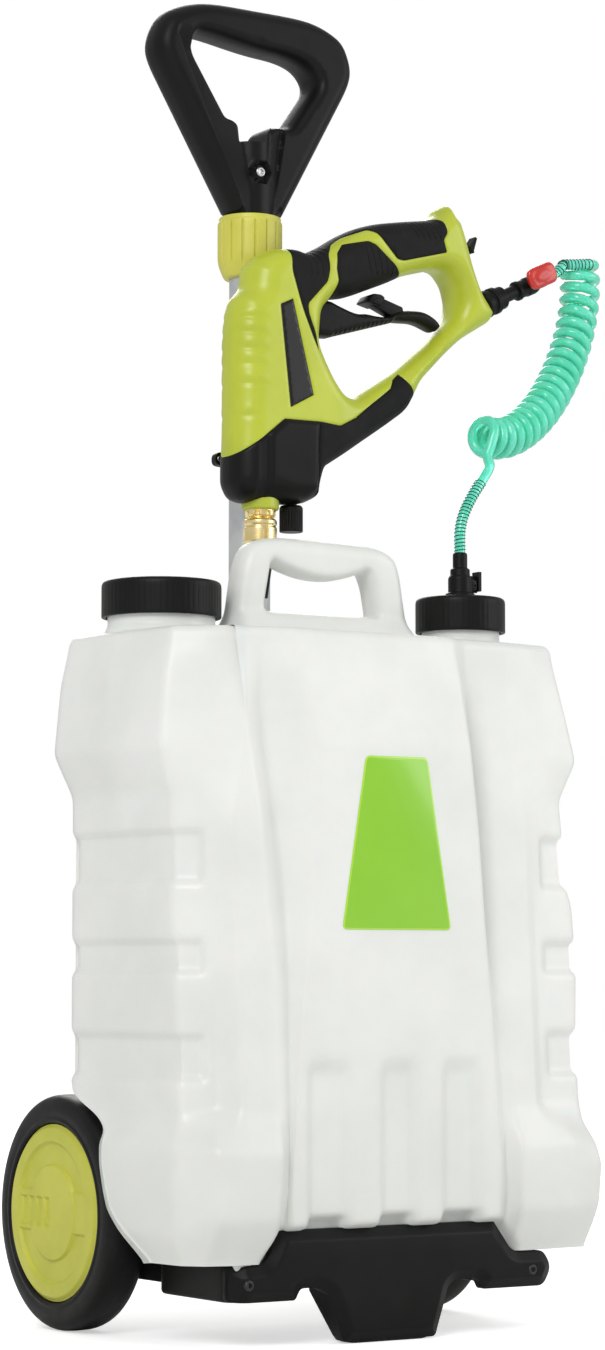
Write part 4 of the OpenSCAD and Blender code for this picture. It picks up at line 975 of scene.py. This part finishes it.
FRONT_OUTLINE = [(-126, 32, 3), (-126, 53, 3), (-101, 54.5, 3), (-97, 58, 3), (-88, 76, 2),
                 (85, 76, 2), (98, 57, 3), (103, 54.5, 3), (126, 54.5, 5), (133, 43, 6),
                 (126, 30.5, 5), (75, 30.5, 2), (71, 38, 4), (52, 38, 4), (46, 34, 4), (37, 1, 3),
                 (-37, 1, 3), (-50, 34, 4), (-60, 38, 4), (-72, 38, 3), (-76, 30.5, 2),
                 (-120, 30.5, 3)]


def base_front():
    """The wall, the foot's face and the ends of the rails, in one face with broad chamfers."""
    flat, triangles, lines = sheet_of(soften(FRONT_OUTLINE, 3),
                                      rings=(0.3, 1.0, 2.2, 4.0, 5.6, 6.6, 7.4, 8.6))
    x, z = flat[:, 0], flat[:, 1]
    edge = away(flat, lines)
    rise = 0.62 * np.clip(edge, 0, 6.8)
    rise = rise + 0.25 * ramp(edge, 6.6, 7.6)
    lean = 2.0 * ramp(z, 30, 0) + 1.5 * ramp(z, 56, 76)
    turn = 9 * ramp(x, -112, -126)
    front = 3.2 + rise - lean - turn
    return both_faces(flat, triangles, front, -86, np.full(len(flat), 3.5))


def rounded_ring(half_x, low_y, high_y, z, corner):
    """Level points round a box with rounded corners."""
    box = [(-half_x, low_y), (half_x, low_y), (half_x, high_y), (-half_x, high_y)]
    ring = soften(box, corner)
    return np.column_stack([ring, np.full(len(ring), z)])


FOOT_BLOCK = stacked([
    rounded_ring(29, -86, -71.5, 0, 4), rounded_ring(33, -88, -69.5, 1.2, 5),
    rounded_ring(35, -88.5, -68.6, 4, 5), rounded_ring(47, -89, -58.5, 33, 5),
    rounded_ring(48, -89, -58, 39, 5)])


def side_rail(side):
    plan = [(104 * side, -88), (117 * side, -88, 6), (126 * side, -81, 8), (126 * side, 4, 10),
            (104 * side, 4, 10)]
    return slab(soften(plan, 3), 30.5, 55, 3, "z")


INNER_RAIL = [(-64, 37), (-64, 54), (20, 54, 12), (73, 90, 6), (103, 90, 4), (103, 37, 4)]
rail_shapes = [side_rail(side) for side in (-1, 1)]
for side in (-1, 1):
    low, high = sorted((side * 102, side * 120))
    rail_shapes.append(slab(soften(INNER_RAIL, 3), low, high, 1.5, "x"))
beam = soften([(-86, 38), (-86, 55), (-71, 55), (-71, 38)], 1.5)
cross = soften([(75, 66), (75, 92), (103, 92), (103, 66)], 2)
rail_shapes += [slab(beam, -106, 106, 1, "x"), slab(cross, -103, 103, 1, "x")]
make("base_front", base_front(), "black_plastic", stands_for=("base_frame",), sharp=28)
make("base_foot", FOOT_BLOCK, "black_plastic", sharp=40)
make("base_rails", join(*rail_shapes), "black_plastic", sharp=40)


def head(at, radius, way=(0, -1, 0)):
    """A domed screw head with a round drive recess, seen along its axis."""
    outline = [(0, -0.2), (radius * 0.42, -0.2), (radius * 0.48, 1.0), (radius * 0.75, 1.1, 0.5),
               (radius, 0.3, 0.4), (radius, -3)]
    return lathe(soften(outline, 0.25, False), at, way, 48)


def bolt_head(name, at, radius, slot, body="cart", node=None, finish=None):
    make(name, head(at, radius), slot, body, (node,) if node else (), sharp=40, finish=finish)


for side, word in ((-1, "left"), (1, "right")):
    bolt_head("base_screw_" + word, (side * 114, -93.2, 42), 3.6, "steel",
              node="base_screws" if side < 0 else None, finish=DARK_STEEL)
rounded_copy("pole_socket", 1.2)

HOLDER_AT = (-32, 609)
HOLDER_RING = [(15.2, 592), (20, 592, 1.5), (20, 624, 1.5), (15.2, 624)]
BOLT_RING = [(2.8, 0), (4.8, 0), (4.8, 4), (2.8, 4)]
holder_plate = slab(soften([(-18, 592), (24, 592), (24, 624), (-18, 624)], 3), 64.2, 73.8, 1.5)
holder_ear = slab(soften([(-35.5, 604.5), (-13, 603), (-13, 615), (-35.5, 613.5)], 4), 80, 84.5, 1)
bolt_ring = lathe(soften(BOLT_RING, 0.6), (HOLDER_AT[0], 80.5, HOLDER_AT[1]), (0, -1, 0), 48)
make("gun_holder_dressed",
     join(lathe(soften(HOLDER_RING, 0.5, False), (*POLE, 0), sides=96), holder_plate, holder_ear,
          bolt_ring), "black_plastic", stands_for=("gun_holder",), sharp=40)
bolt_head("holder_bolt_dressed", (HOLDER_AT[0], 78, HOLDER_AT[1]), 2.7, "steel", node="holder_bolt")

# ---------------------------------------------------------------- wheels

WHEEL_X = 144.5
AXLE_Z = 80
TYRE = [(62, -14, 0), (64, -17.5), (70, -19.5), (77, -17, 4), (79.8, -11, 3), (80.2, 0),
        (79.8, 8, 3), (77, 12.5, 4), (70, 14, 3), (65, 13.6, 1), (63.6, 14.3, 0.8), (61.6, 13.9, 0.8),
        (60.8, 12.4, 0.5), (60.3, 10.2, 0)]
HUB_CAP_R = 60
HUB_SIDES = 240
FACE = 15
SKIRT = 10.8
SLOT_MIDDLES = (-38, -27, -16, -5)


def hub_relief(across, up):
    """Height of the hub cap's outer face over its flat: rim, dish, boss and spoke band."""
    radius = np.hypot(across, up)
    rim = 2.4 * ramp(radius, 46.5, 49)
    edge = -2.6 * ramp(radius, 56.6, 60)
    boss = 2.4 * ramp(np.hypot(across / 0.98, up), 33.5, 31.5)
    band = 1.8 * ramp(np.abs(up - 1), 14.5, 13.2) * ramp(radius, 56, 50)
    slots = 0
    for middle in SLOT_MIDDLES:
        bend = across - middle + 0.02 * up * up
        slots = slots + ramp(np.abs(bend), 4.5, 3.2) * ramp(np.abs(up), 10.5, 9)
    raised = np.maximum(np.maximum(rim, boss), band)
    return raised - 1.7 * slots * (raised > 0.2) + edge


def hub_face(side):
    radii = np.concatenate([[0], np.linspace(0.7, 55, 78), np.linspace(55.8, HUB_CAP_R, 8)])
    turns = np.arange(HUB_SIDES) * math.tau / HUB_SIDES
    rings = []
    for radius in radii:
        across = radius * np.cos(turns)
        up = radius * np.sin(turns)
        out = FACE - 2.4 + hub_relief(-across, up)
        rings.append(np.stack([side * (WHEEL_X + out), POLE[1] + across, AXLE_Z + up], 1))
    skirt = rings[-1].copy()
    skirt[:, 0] = side * (WHEEL_X + SKIRT)
    rings.append(skirt)
    return np.concatenate(rings), walls(len(rings), HUB_SIDES)


for side, word in ((-1, "left"), (1, "right")):
    centre = (side * WHEEL_X, POLE[1], AXLE_Z)
    body = "wheel_" + word
    tyre = lathe(soften(TYRE, 1.2, False, 4), centre, (side, 0, 0), 192)
    make("tyre_" + word + "_dressed", tyre, "tyre_rubber", body, ("tyre_" + word,))
    make("hub_cap_" + word + "_dressed", hub_face(side), "lime_plastic", body,
         ("hub_cap_" + word,), finish=WHEEL_LIME)
    rounded_copy("hub_" + word, 0.8, body=body)

# ---------------------------------------------------------------- pole and handle

COLLAR = [(15.1, 744, 0), (18.5, 744, 1.5), (20.5, 748, 3), (23.5, 756, 5), (23.5, 785, 1.5),
          (22.6, 786), (22.6, 789, 1), (15.1, 789, 0)]


def collar_ripple(angle, height):
    groove = ramp(np.cos(angle * 16), 0.82, 0.97)
    return -1.3 * groove * ramp(height, 750, 758) * ramp(height, 785.5, 783)


collar_line = spaced(soften(COLLAR, 0.8, False, 4), 2, False)
make("lock_collar_dressed", lathe(collar_line, (*POLE, 0), sides=384, ripple=collar_ripple),
     "lime_plastic", "collar", ("lock_collar",), sharp=50, finish=COLLAR_LIME)

GRIP_OUTER = [(-18.5, 789.5, 2), (-84, 897, 14), (-85, 911, 10), (-77, 929, 14), (-60, 937.5, 14),
              (-40, 942, 20), (40, 942, 20), (59, 937.5, 14), (75, 929, 14), (82.5, 911, 10),
              (81.5, 897, 14), (21.5, 789.5, 2)]
GRIP_OPENING = [(-14, 843, 1), (-15.5, 855, 3), (-20, 858, 3), (-26.5, 859, 3), (-56, 904, 8),
                (-54, 917, 5), (-40, 917, 14), (0, 911, 24), (28, 909.5, 14), (44, 904, 12),
                (51.5, 893, 10), (27, 858, 4), (12, 857, 5), (7, 852, 3), (5, 843, 1)]
SCREW_Z = 821
SOCKET_TOP = 843
# Where the round tubes of the two legs step down to the webs beside the stem
LEFT_RIDGE = [(-13, 789.5), (-16.6, 797), (-42.6, 850), (-64, 895), (-70, 912), (-70, 924)]
RIGHT_RIDGE = [(9.9, 789.5), (21.9, 862)]


def grip_shape():
    outer = soften(GRIP_OUTER, 6)
    opening = soften(GRIP_OPENING, 5)
    ridges = [np.array(LEFT_RIDGE[:-1]), np.array(RIGHT_RIDGE)]
    flat, triangles, lines = sheet_of(outer, [opening], ridges, 2.0)
    x, z = flat[:, 0], flat[:, 1]
    to_rim = away(flat, [outer])
    tube = dome(to_rim, 17, 11)
    # A web lies inside the round tube of each leg, the right one nearly flush with it
    foot = ramp(z, 850, 800)
    web_half = np.where(x < 0, 9.5 + 5 * foot, 12.5 + 3 * foot)
    left = ramp(x - np.interp(z, *np.array(LEFT_RIDGE).T[::-1]), -0.1, 1.4)
    right = ramp(np.interp(z, *np.array(RIGHT_RIDGE).T[::-1]) - x, -0.1, 1.4) * ramp(z, 868, 862)
    step = ramp(z, 922, 902) * np.where(x < 0, left, right)
    bar = tube * (1 - step) + web_half * step
    body = np.minimum(bar, dome(away(flat, lines[1:]), 17, 8))
    stem_r = 16.4 - 1.2 * ramp(z, 800, 850)
    stem = np.sqrt(np.maximum(stem_r ** 2 - x ** 2, 0)) * (z < 875)
    height = np.maximum(body, stem * ramp(to_rim, 0, 3))
    from_screw = np.hypot(x, z - SCREW_Z)
    height = np.maximum(height, 17.8 * ramp(from_screw, 9.2, 8.0))
    front = height - ramp(from_screw, 6.4, 5.8) * (height - 14)
    return both_faces(flat, triangles, front, POLE[1], height)


make("handle_grip_dressed", grip_shape(), "black_plastic", "handle", ("handle_grip",), sharp=40)
bolt_head("grip_screw_dressed", (0, POLE[1] - 14.6, SCREW_Z), 3.9, "steel", "handle", "grip_screw")
tube_low, tube_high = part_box("pole_upper_tube")
tube_r = (tube_high.x - tube_low.x) / 2 / MM
bore_r = tube_r - 1.2
tube_foot = tube_low.z / MM
tube_top = SOCKET_TOP - 2
UPPER_TUBE = [(bore_r, tube_top), (bore_r, tube_foot), (tube_r, tube_foot), (tube_r, tube_top),
              (bore_r, tube_top)]
make("upper_tube_dressed", lathe(UPPER_TUBE, (*POLE, 0), sides=96), "pole_metal", "handle",
     ("pole_upper_tube",))

# ---------------------------------------------------------------- gun

GUN_HALF = 21
GUN_OUTLINE = [(-29.5, 728.5, 3), (-38, 719, 3), (-41, 708, 3), (-42.5, 690, 8), (-42.5, 623, 8),
               (-43.5, 601, 6), (-43.5, 587, 5), (-37.5, 576.5, 5), (-30, 574.5, 3), (17, 577, 4),
               (27, 582, 3), (28.5, 592, 4), (32, 603, 4), (53, 616, 6), (88, 639, 10),
               (105, 651, 6), (112, 663, 4), (118, 674, 5), (141, 697, 10), (155, 709, 8),
               (180, 724, 3), (183, 731, 3), (179, 736, 4), (171, 745, 6), (164, 761, 8),
               (156, 786, 4), (152, 796, 3), (147.5, 799.5, 2), (144.5, 804, 2), (141, 807.5, 2),
               (136.5, 804, 2), (133, 798.5, 3), (126, 794.5, 3), (104, 791, 8), (80, 786.5, 8),
               (64, 781.5, 6), (50, 774.5, 6), (35, 765, 5), (19, 757, 3), (7, 759.5, 4),
               (-10, 757.5, 5), (-21, 751, 4), (-27.5, 743, 3)]
GUN_LOOP = [(27.5, 693.5, 5), (31.5, 684, 5), (40, 669, 6), (48.5, 658.5, 5), (58.5, 656, 5),
            (69, 662, 6), (98, 680, 10), (131, 706.5, 10), (148, 725, 6), (151.5, 737, 5),
            (148.5, 749, 4), (141, 757.5, 4), (131.5, 759, 4), (105, 751.5, 8), (91, 744.5, 8),
            (56, 730, 6), (40, 727.5, 4), (29.5, 717, 6)]
NOSE_BORDER = [(-61, 595), (-39.5, 609), (-26.5, 618.5, 3), (-7.5, 634, 2), (23, 634.5, 0),
               (39.5, 633, 4), (53.5, 640, 4), (86, 664.5, 3), (90.5, 672, 2), (96, 676.5, 2),
               (100.5, 670.5, 2), (120, 655)]
NOSE_SPLIT = [(23, 634.5), (22, 616), (22, 570)]
# A height under the whole gun
BELOW = 560
OVERMOULD = [(-1, 766), (0, 757), (-1.5, 742.5, 5), (7.5, 715, 8), (17, 694, 3), (22.5, 685, 1),
             (20, 696, 2), (16, 704.5, 2), (13, 712, 2), (12.5, 718.5, 2), (29, 736, 2),
             (31, 744.5, 2), (30.5, 755.5, 3), (37, 764.5, 3), (46.5, 771, 3), (66, 778.5, 2),
             (72, 776.5, 2), (89.5, 759, 2), (95, 758.5, 2), (133.5, 769, 1.5), (130.5, 778, 2),
             (134, 783.5, 2), (132, 794, 3), (122, 797, 3), (118, 812)]
PANEL = [(34, 718), (35, 725), (38.5, 737, 2), (36.8, 746, 1.5), (37.5, 757.5, 1.5), (43.5, 765, 1.5),
         (64, 769.5, 2), (71, 767.5, 2), (92.5, 751, 2), (97, 749, 1), (98, 742)]
BADGE = [(-11, 715.5), (-0.5, 720.5), (17, 653), (-2.5, 642.5)]
GROOVE_LEVELS = ((705, -24), (694, -24), (682.5, -24), (671.5, -24), (657.5, -24), (634.5, -30))
SHELL_SCREWS = [(-20, 735), (-30, 645), (20, 655), (122, 688), (143, 786)]


def raised(distance, lift, seam=0.55):
    """A region's lift above the shell, which dips into a seam along its border."""
    return lift * ramp(distance, 0, 1.1) - seam * ramp(distance, 0.9, 0)


def gun_pieces():
    outer = soften(GUN_OUTLINE, 5)
    loop = soften(GUN_LOOP, 5)
    borders = [soften(NOSE_BORDER, 1, False), np.array(NOSE_SPLIT, float),
               soften(OVERMOULD, 1.5, False), soften(PANEL, 1.5, False),
               closed_line(soften(BADGE, 0.8))]
    flat, triangles, lines = sheet_of(outer, [loop], borders, 2.2)
    x, z = flat[:, 0], flat[:, 1]
    edge = away(flat, lines)
    seam = away(flat, borders)
    reach = 13 + 7 * ramp(x, 4, -20)
    height = dome(edge, GUN_HALF, reach)
    # The strut below the loop and the tail are slimmer than the body
    slim = ramp(x, 40, 70) * ramp(z, 745, 715)
    height *= 1 - 0.16 * slim
    for level, end in GROOVE_LEVELS:
        dip = np.exp(-((z - level) / 1.7) ** 2) - 0.35 * np.exp(-((z - level - 5) / 3.0) ** 2)
        height -= 1.3 * dip * ramp(x, end + 4, end - 6) * ramp(edge, 0, 4)
    border = [corner[:2] for corner in NOSE_BORDER]
    split = border.index(NOSE_SPLIT[0])
    low = [(x, BELOW) for x in (border[0][0], NOSE_SPLIT[-1][0], border[-1][0])]
    middle = flat[triangles].mean(1)
    regions = {
        "badge": soften(BADGE, 0.8),
        "nose": np.array(border[:split + 1] + NOSE_SPLIT[1:] + [low[1], low[0]], float),
        "strut": np.array(border[split:] + [low[2], low[1]] + NOSE_SPLIT[:0:-1], float),
        "overmould": np.concatenate([soften(OVERMOULD, 1.5, False),
                                     [(118, 830), (-1, 830)]]),
        "panel": soften(PANEL, 1.5, False),
    }
    owner = np.full(len(triangles), "shell", dtype=object)
    for name, outline in reversed(list(regions.items())):
        owner[inside(middle, outline)] = name
    lifts = {"shell": 0.0, "badge": 0.25, "nose": 0.5, "strut": 0.5, "overmould": 0.55,
             "panel": 0.55}
    shapes = {}
    for name, lift in lifts.items():
        own = triangles[owner == name]
        tall = height + raised(seam, lift) * ramp(edge, 0, 2.5)
        if name == "nose":
            panel = (ramp(x, -21, -18) * ramp(z, 583, 587) * ramp(x, 21.5, 19)
                     * ramp(seam, 1.0, 3.0))
            tall = tall + 1.3 * panel - 0.8 * ramp(x, -30, -27) * ramp(x, -19, -21)
        shapes[name] = (flat, own, np.maximum(tall, 0.5))
    heads = []
    for at in SHELL_SCREWS:
        nearest = np.argmin(np.hypot(x - at[0], z - at[1]))
        heads.append(head((at[0], GUN_Y + height[nearest] - 0.8, at[1]), 2.8, (0, 1, 0)))
    return shapes, rim_of(triangles), join(*heads)


gun_shapes, gun_rim, screw_heads = gun_pieces()
make("shell_screws_dressed", screw_heads, "steel", stands_for=("shell_screws",), place=on_gun,
     sharp=40)


def gun_face(region, side):
    return one_face(*gun_shapes[region], GUN_Y, side, gun_rim)


for side, node in ((-1, "gun_shell_left"), (1, "gun_shell_right")):
    make(node + "_dressed", gun_face("shell", side), "lime_plastic", stands_for=(node,),
         place=on_gun, sharp=50)
for region, slot, node in (
        ("nose", "black_plastic", "nose_housing"),
        ("strut", "soft_grip", "strut_bumper"),
        ("overmould", "soft_grip", "grip_overmould"),
        ("panel", "soft_grip", "grip_panel")):
    make(node + "_dressed", join(gun_face(region, -1), gun_face(region, 1)), slot,
         stands_for=(node,), place=on_gun, sharp=50)
make("badge_plate", gun_face("badge", -1), "black_plastic", place=on_gun, sharp=50,
     finish=PLATE_BLACK)
make("badge_plate_back", gun_face("badge", 1), "lime_plastic", place=on_gun, sharp=50)

# The cells and the trigger's pin lie within the shell, which is slimmer than its solid
CELL_R = 6.5
CELLS = [((60, GUN_Y, 756), (0.964, 0, 0.266), 60), ((163, GUN_Y, 728), (-0.206, 0, 0.979), 38)]
cell_shapes = [lathe(soften([(0, 0), (CELL_R, 0), (CELL_R, tall), (0, tall)], 0.8, False), start,
                     way, 48) for start, way, tall in CELLS]
make("battery_cells_dressed", join(*cell_shapes), "cell_wrap", stands_for=("battery_cells",),
     place=on_gun)
pin_low, pin_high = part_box("trigger_pin")
pin_r = (pin_high.x - pin_low.x) / 2
pin_middle = (pin_low + pin_high) / 2
pin_line = [(0, -6 * MM), (pin_r, -6 * MM), (pin_r, 6 * MM), (0, 6 * MM)]
make("trigger_pin_dressed", lathe(pin_line, pin_middle, (0, 1, 0), 32), "steel",
     stands_for=("trigger_pin",), place=np.asarray)

# Trigger with its finger ridges, and the plate that holds it pressed
TRIGGER_TOP = [(134, 722, 4), (123, 727, 6), (106, 726, 5), (97, 723, 3), (92, 719.5, 2),
               (83, 719, 4), (72, 720, 4), (66, 719, 4), (59, 720, 4), (46, 724, 5), (41, 726, 4),
               (33, 726, 6), (22, 722, 5), (21, 707, 6), (28, 699, 6), (37, 699, 4)]
FINGER_RIDGES = 14
FINGER_PITCH = 4.0
FINGERS_AT = (42, 700.5)


def trigger_outline():
    ridges = []
    for k in range(FINGER_RIDGES):
        x = FINGERS_AT[0] + FINGER_PITCH * k
        base = FINGERS_AT[1] + 0.3 * FINGER_PITCH * k
        ridges.append((x, base - 1.1, 1.0))
        ridges.append((x + FINGER_PITCH / 2, base + 0.9, 0.8))
    return soften(TRIGGER_TOP + ridges + [(103, 717, 4), (118, 718, 8), (134, 712.5, 3),
                                          (138, 717, 2)], 2)


def trigger_shape():
    flat, triangles, lines = sheet_of(trigger_outline(), spacing=2.0, rings=(0.3, 0.9, 1.8, 3.0))
    return both_faces(flat, triangles, dome(away(flat, lines), 9, 4.5), GUN_Y)


make("trigger_dressed", trigger_shape(), "black_plastic", "trigger_lever", ("trigger",), on_gun,
     sharp=50)
LOCK = [(73, 729), (77, 734), (83, 734), (105, 728), (106, 722), (104, 719.6), (98, 719.6),
        (94, 721)]
LOCK_PAD = [(72, 728.5), (76.5, 734.6), (83.5, 734.6), (87, 732.5), (83, 726)]
make("trigger_lock_dressed", join(slab(soften(LOCK, 1.2), GUN_Y - 4.7, GUN_Y + 4.7, 0.8),
                                  slab(soften(LOCK_PAD, 1.5), GUN_Y - 8.6, GUN_Y + 8.6, 1)),
     "black_plastic", "lock_lever", ("trigger_lock",), on_gun, sharp=40)

KNOB = [(0, 556.6), (8.4, 556.6, 1), (8.4, 574, 1), (7.2, 575.6), (4, 575.6), (4, 580)]
make("pressure_knob_dressed",
     lathe(spaced(soften(KNOB, 0.5, False), 2, False), (11, GUN_Y, 0), sides=240,
           ripple=fluted(24, 0.5, 558, 573)), "black_plastic", "knob", ("pressure_knob",), on_gun)

# Lime seat under the nose that the connector leaves through
make("lance_seat", lathe(soften([(9, 580), (13.4, 580), (13.2, 571.5), (12.4, 570.3), (8.5, 570.3)],
                                0.8, False), (-15, GUN_Y, 0), sides=96), "lime_plastic",
     place=on_gun)

# ---------------------------------------------------------------- lance


NUT = [(4.1, 546, 0), (10.4, 546, 0.5), (11.8, 548, 0.5), (11.8, 557.6, 0.4), (11.0, 558.4, 0.4),
       (11.0, 559.4, 0.4), (11.8, 560.2, 0.4), (11.8, 562.6, 0.5), (10.6, 564, 0.5), (8.7, 564, 0)]
nut_line = spaced(soften(NUT, 0.4, False), 1.2, False)


def nut_ripple(angle, height):
    slot = ramp(np.cos(angle * 4 + 1.1), 0.9, 0.96)
    return -1.1 * slot * ramp(height, 548, 549) * ramp(height, 558, 557)


make("lance_nut_dressed", lathe(nut_line, (-15, GUN_Y, 0), sides=240, ripple=nut_ripple), "brass",
     "nut", ("lance_nut",), on_gun, sharp=30)
CONNECTOR = [(8.5, 551, 0), (8.5, 562), (8.8, 564.4), (10.2, 565.2, 0.4), (11.0, 566.4, 0.4),
             (11.0, 570.6, 0.4), (9, 571.4, 0.3), (9, 578, 0)]


def castellated(angle, height):
    gap = ramp(np.cos(angle * 8), 0.1, 0.45)
    return -1.6 * gap * ramp(height, 564.4, 565.4) * ramp(height, 569.4, 568.4)


make("lance_connector_dressed",
     lathe(spaced(soften(CONNECTOR, 0.3, False), 0.8, False), (-15, GUN_Y, 0), sides=192,
           ripple=castellated), "brass",
     stands_for=("lance_connector",), place=on_gun, sharp=30)
SLEEVE = [(4.05, 507.8, 0), (5.4, 508, 0.6), (9.6, 540, 3), (10.1, 545.6, 0.8), (6, 545.7, 0)]
make("lance_sleeve_dressed", lathe(soften(SLEEVE, 0.6, False), (-15, GUN_Y, 0), sides=96),
     "black_plastic", stands_for=("lance_sleeve",), place=on_gun)

# ---------------------------------------------------------------- gun fittings

INLET_AT = np.array([180, GUN_Y, 738], float)
INLET_ANGLE = math.radians(24.5)
INLET_WAY = (math.cos(INLET_ANGLE), 0, math.sin(INLET_ANGLE))
INLET = [(7, -2, 0), (10.4, 0.6), (10.4, 4), (8.7, 4.6), (8.7, 8), (10.2, 8.6), (10.2, 12.2),
         (8.7, 12.8), (8.7, 19), (7.2, 20.4), (5.2, 20.8), (5.2, 33, 0)]
make("gun_inlet_dressed",
     lathe(spaced(soften(INLET, 0.5, False), 2, False), INLET_AT, INLET_WAY, 144,
           fluted(18, 0.35, 9, 12)), "black_plastic", stands_for=("gun_inlet",), place=on_gun)
COUPLER = [(5.2, 33, 0), (7.4, 33.4), (7.4, 36), (6.6, 36.8), (6.6, 42), (7.2, 43), (7.2, 50),
           (6.4, 53), (5.2, 54), (5.2, 62.4), (4.2, 63, 0)]
coupling = make("hose_coupling_dressed",
                lathe(soften(COUPLER, 0.6, False), INLET_AT, INLET_WAY, 64), "black_plastic",
                stands_for=("hose_coupling",), place=on_gun)


def clip_shape():
    """The sliding release: a long rounded paddle with a raised middle."""
    outline = soften([(-10.5, -8), (10.5, -8), (13.5, -4), (13.5, 4), (10.5, 8), (-10.5, 8),
                      (-13.5, 4), (-13.5, -4)], 4)
    flat, triangles, lines = sheet_of(outline, spacing=1.6, rings=(0.25, 0.8, 1.7, 3.0))
    height = dome(away(flat, lines), 2.6, 3.4)
    height = height + 0.7 * ramp(np.hypot(flat[:, 0] / 8, flat[:, 1] / 4), 1.1, 0.8)
    along = flat[:, 0] + 53.5
    up = flat[:, 1] + 4
    cos, sin = math.cos(INLET_ANGLE), math.sin(INLET_ANGLE)
    turned = np.stack([INLET_AT[0] + along * cos - up * sin,
                       INLET_AT[2] + along * sin + up * cos], 1)
    return both_faces(turned, triangles, height, GUN_Y - 10.8)


clip = make("release_clip_dressed", clip_shape(), "red_plastic", "clip", ("release_clip",),
            on_gun, sharp=50)
rounded_copy("port_flap", 0.3, body="flap")

# ---------------------------------------------------------------- floor and light


def staged(name, points, faces, material):
    mesh = bpy.data.meshes.new(name)
    mesh.from_pydata(points, [], faces)
    item = bpy.data.objects.new(name, mesh)
    item.data.materials.append(material)
    scene.collection.objects.link(item)


def floor_finish():
    """A pale floor that meets the white background and keeps the cart's shadow."""
    f = Finish("floor", Roughness=0.9, Specular_IOR_Level=0.1, Emission_Strength=0.5)
    f.surface.inputs["Base Color"].default_value = (0.9, 0.9, 0.9, 1)
    seen = f.node("ShaderNodeLightPath", {}, out="Is Camera Ray")
    f.feed(f.surface.inputs["Emission Color"], f.mix(seen, (0, 0, 0, 1), (1, 1, 1, 1)))
    return f.material


FLOOR = 9
staged("floor", [(-FLOOR, -FLOOR, 0), (FLOOR, -FLOOR, 0), (FLOOR, FLOOR, 0), (-FLOOR, FLOOR, 0)],
       [(0, 1, 2, 3)], floor_finish())


def lamp(name, place, aim, size, power):
    data = bpy.data.lights.new(name, "AREA")
    data.shape = "DISK"
    data.size = size
    data.energy = power
    item = bpy.data.objects.new(name, data)
    item.location = place
    item.rotation_euler = (Vector(aim) - Vector(place)).to_track_quat("-Z", "Y").to_euler()
    scene.collection.objects.link(item)


lamp("key_lamp", (-2.4, -2.2, 2.4), (0, 0, 0.45), 1.6, 56)
lamp("fill_lamp", (2.4, -2.0, 1.4), (0, 0, 0.5), 1.8, 24)
lamp("back_lamp", (1.2, 2.6, 2.2), (0, 0, 0.5), 1.6, 30)

world = bpy.data.worlds.new("studio")
world.use_nodes = True
scene.world = world
tree = world.node_tree
tree.nodes.clear()
path = tree.nodes.new("ShaderNodeLightPath")
seen_white = tree.nodes.new("ShaderNodeMath")
seen_white.operation = "MAXIMUM"
tree.links.new(path.outputs["Is Camera Ray"], seen_white.inputs[0])
tree.links.new(path.outputs["Is Transmission Ray"], seen_white.inputs[1])
ambient = tree.nodes.new("ShaderNodeBackground")
ambient.inputs["Color"].default_value = (1, 1, 0.99, 1)
ambient.inputs["Strength"].default_value = 0.57
white = tree.nodes.new("ShaderNodeBackground")
white.inputs["Color"].default_value = (1, 1, 1, 1)
blend = tree.nodes.new("ShaderNodeMixShader")
tree.links.new(seen_white.outputs[0], blend.inputs[0])
tree.links.new(ambient.outputs[0], blend.inputs[1])
tree.links.new(white.outputs[0], blend.inputs[2])
output = tree.nodes.new("ShaderNodeOutputWorld")
tree.links.new(blend.outputs[0], output.inputs["Surface"])

scene.view_settings.view_transform = "Standard"
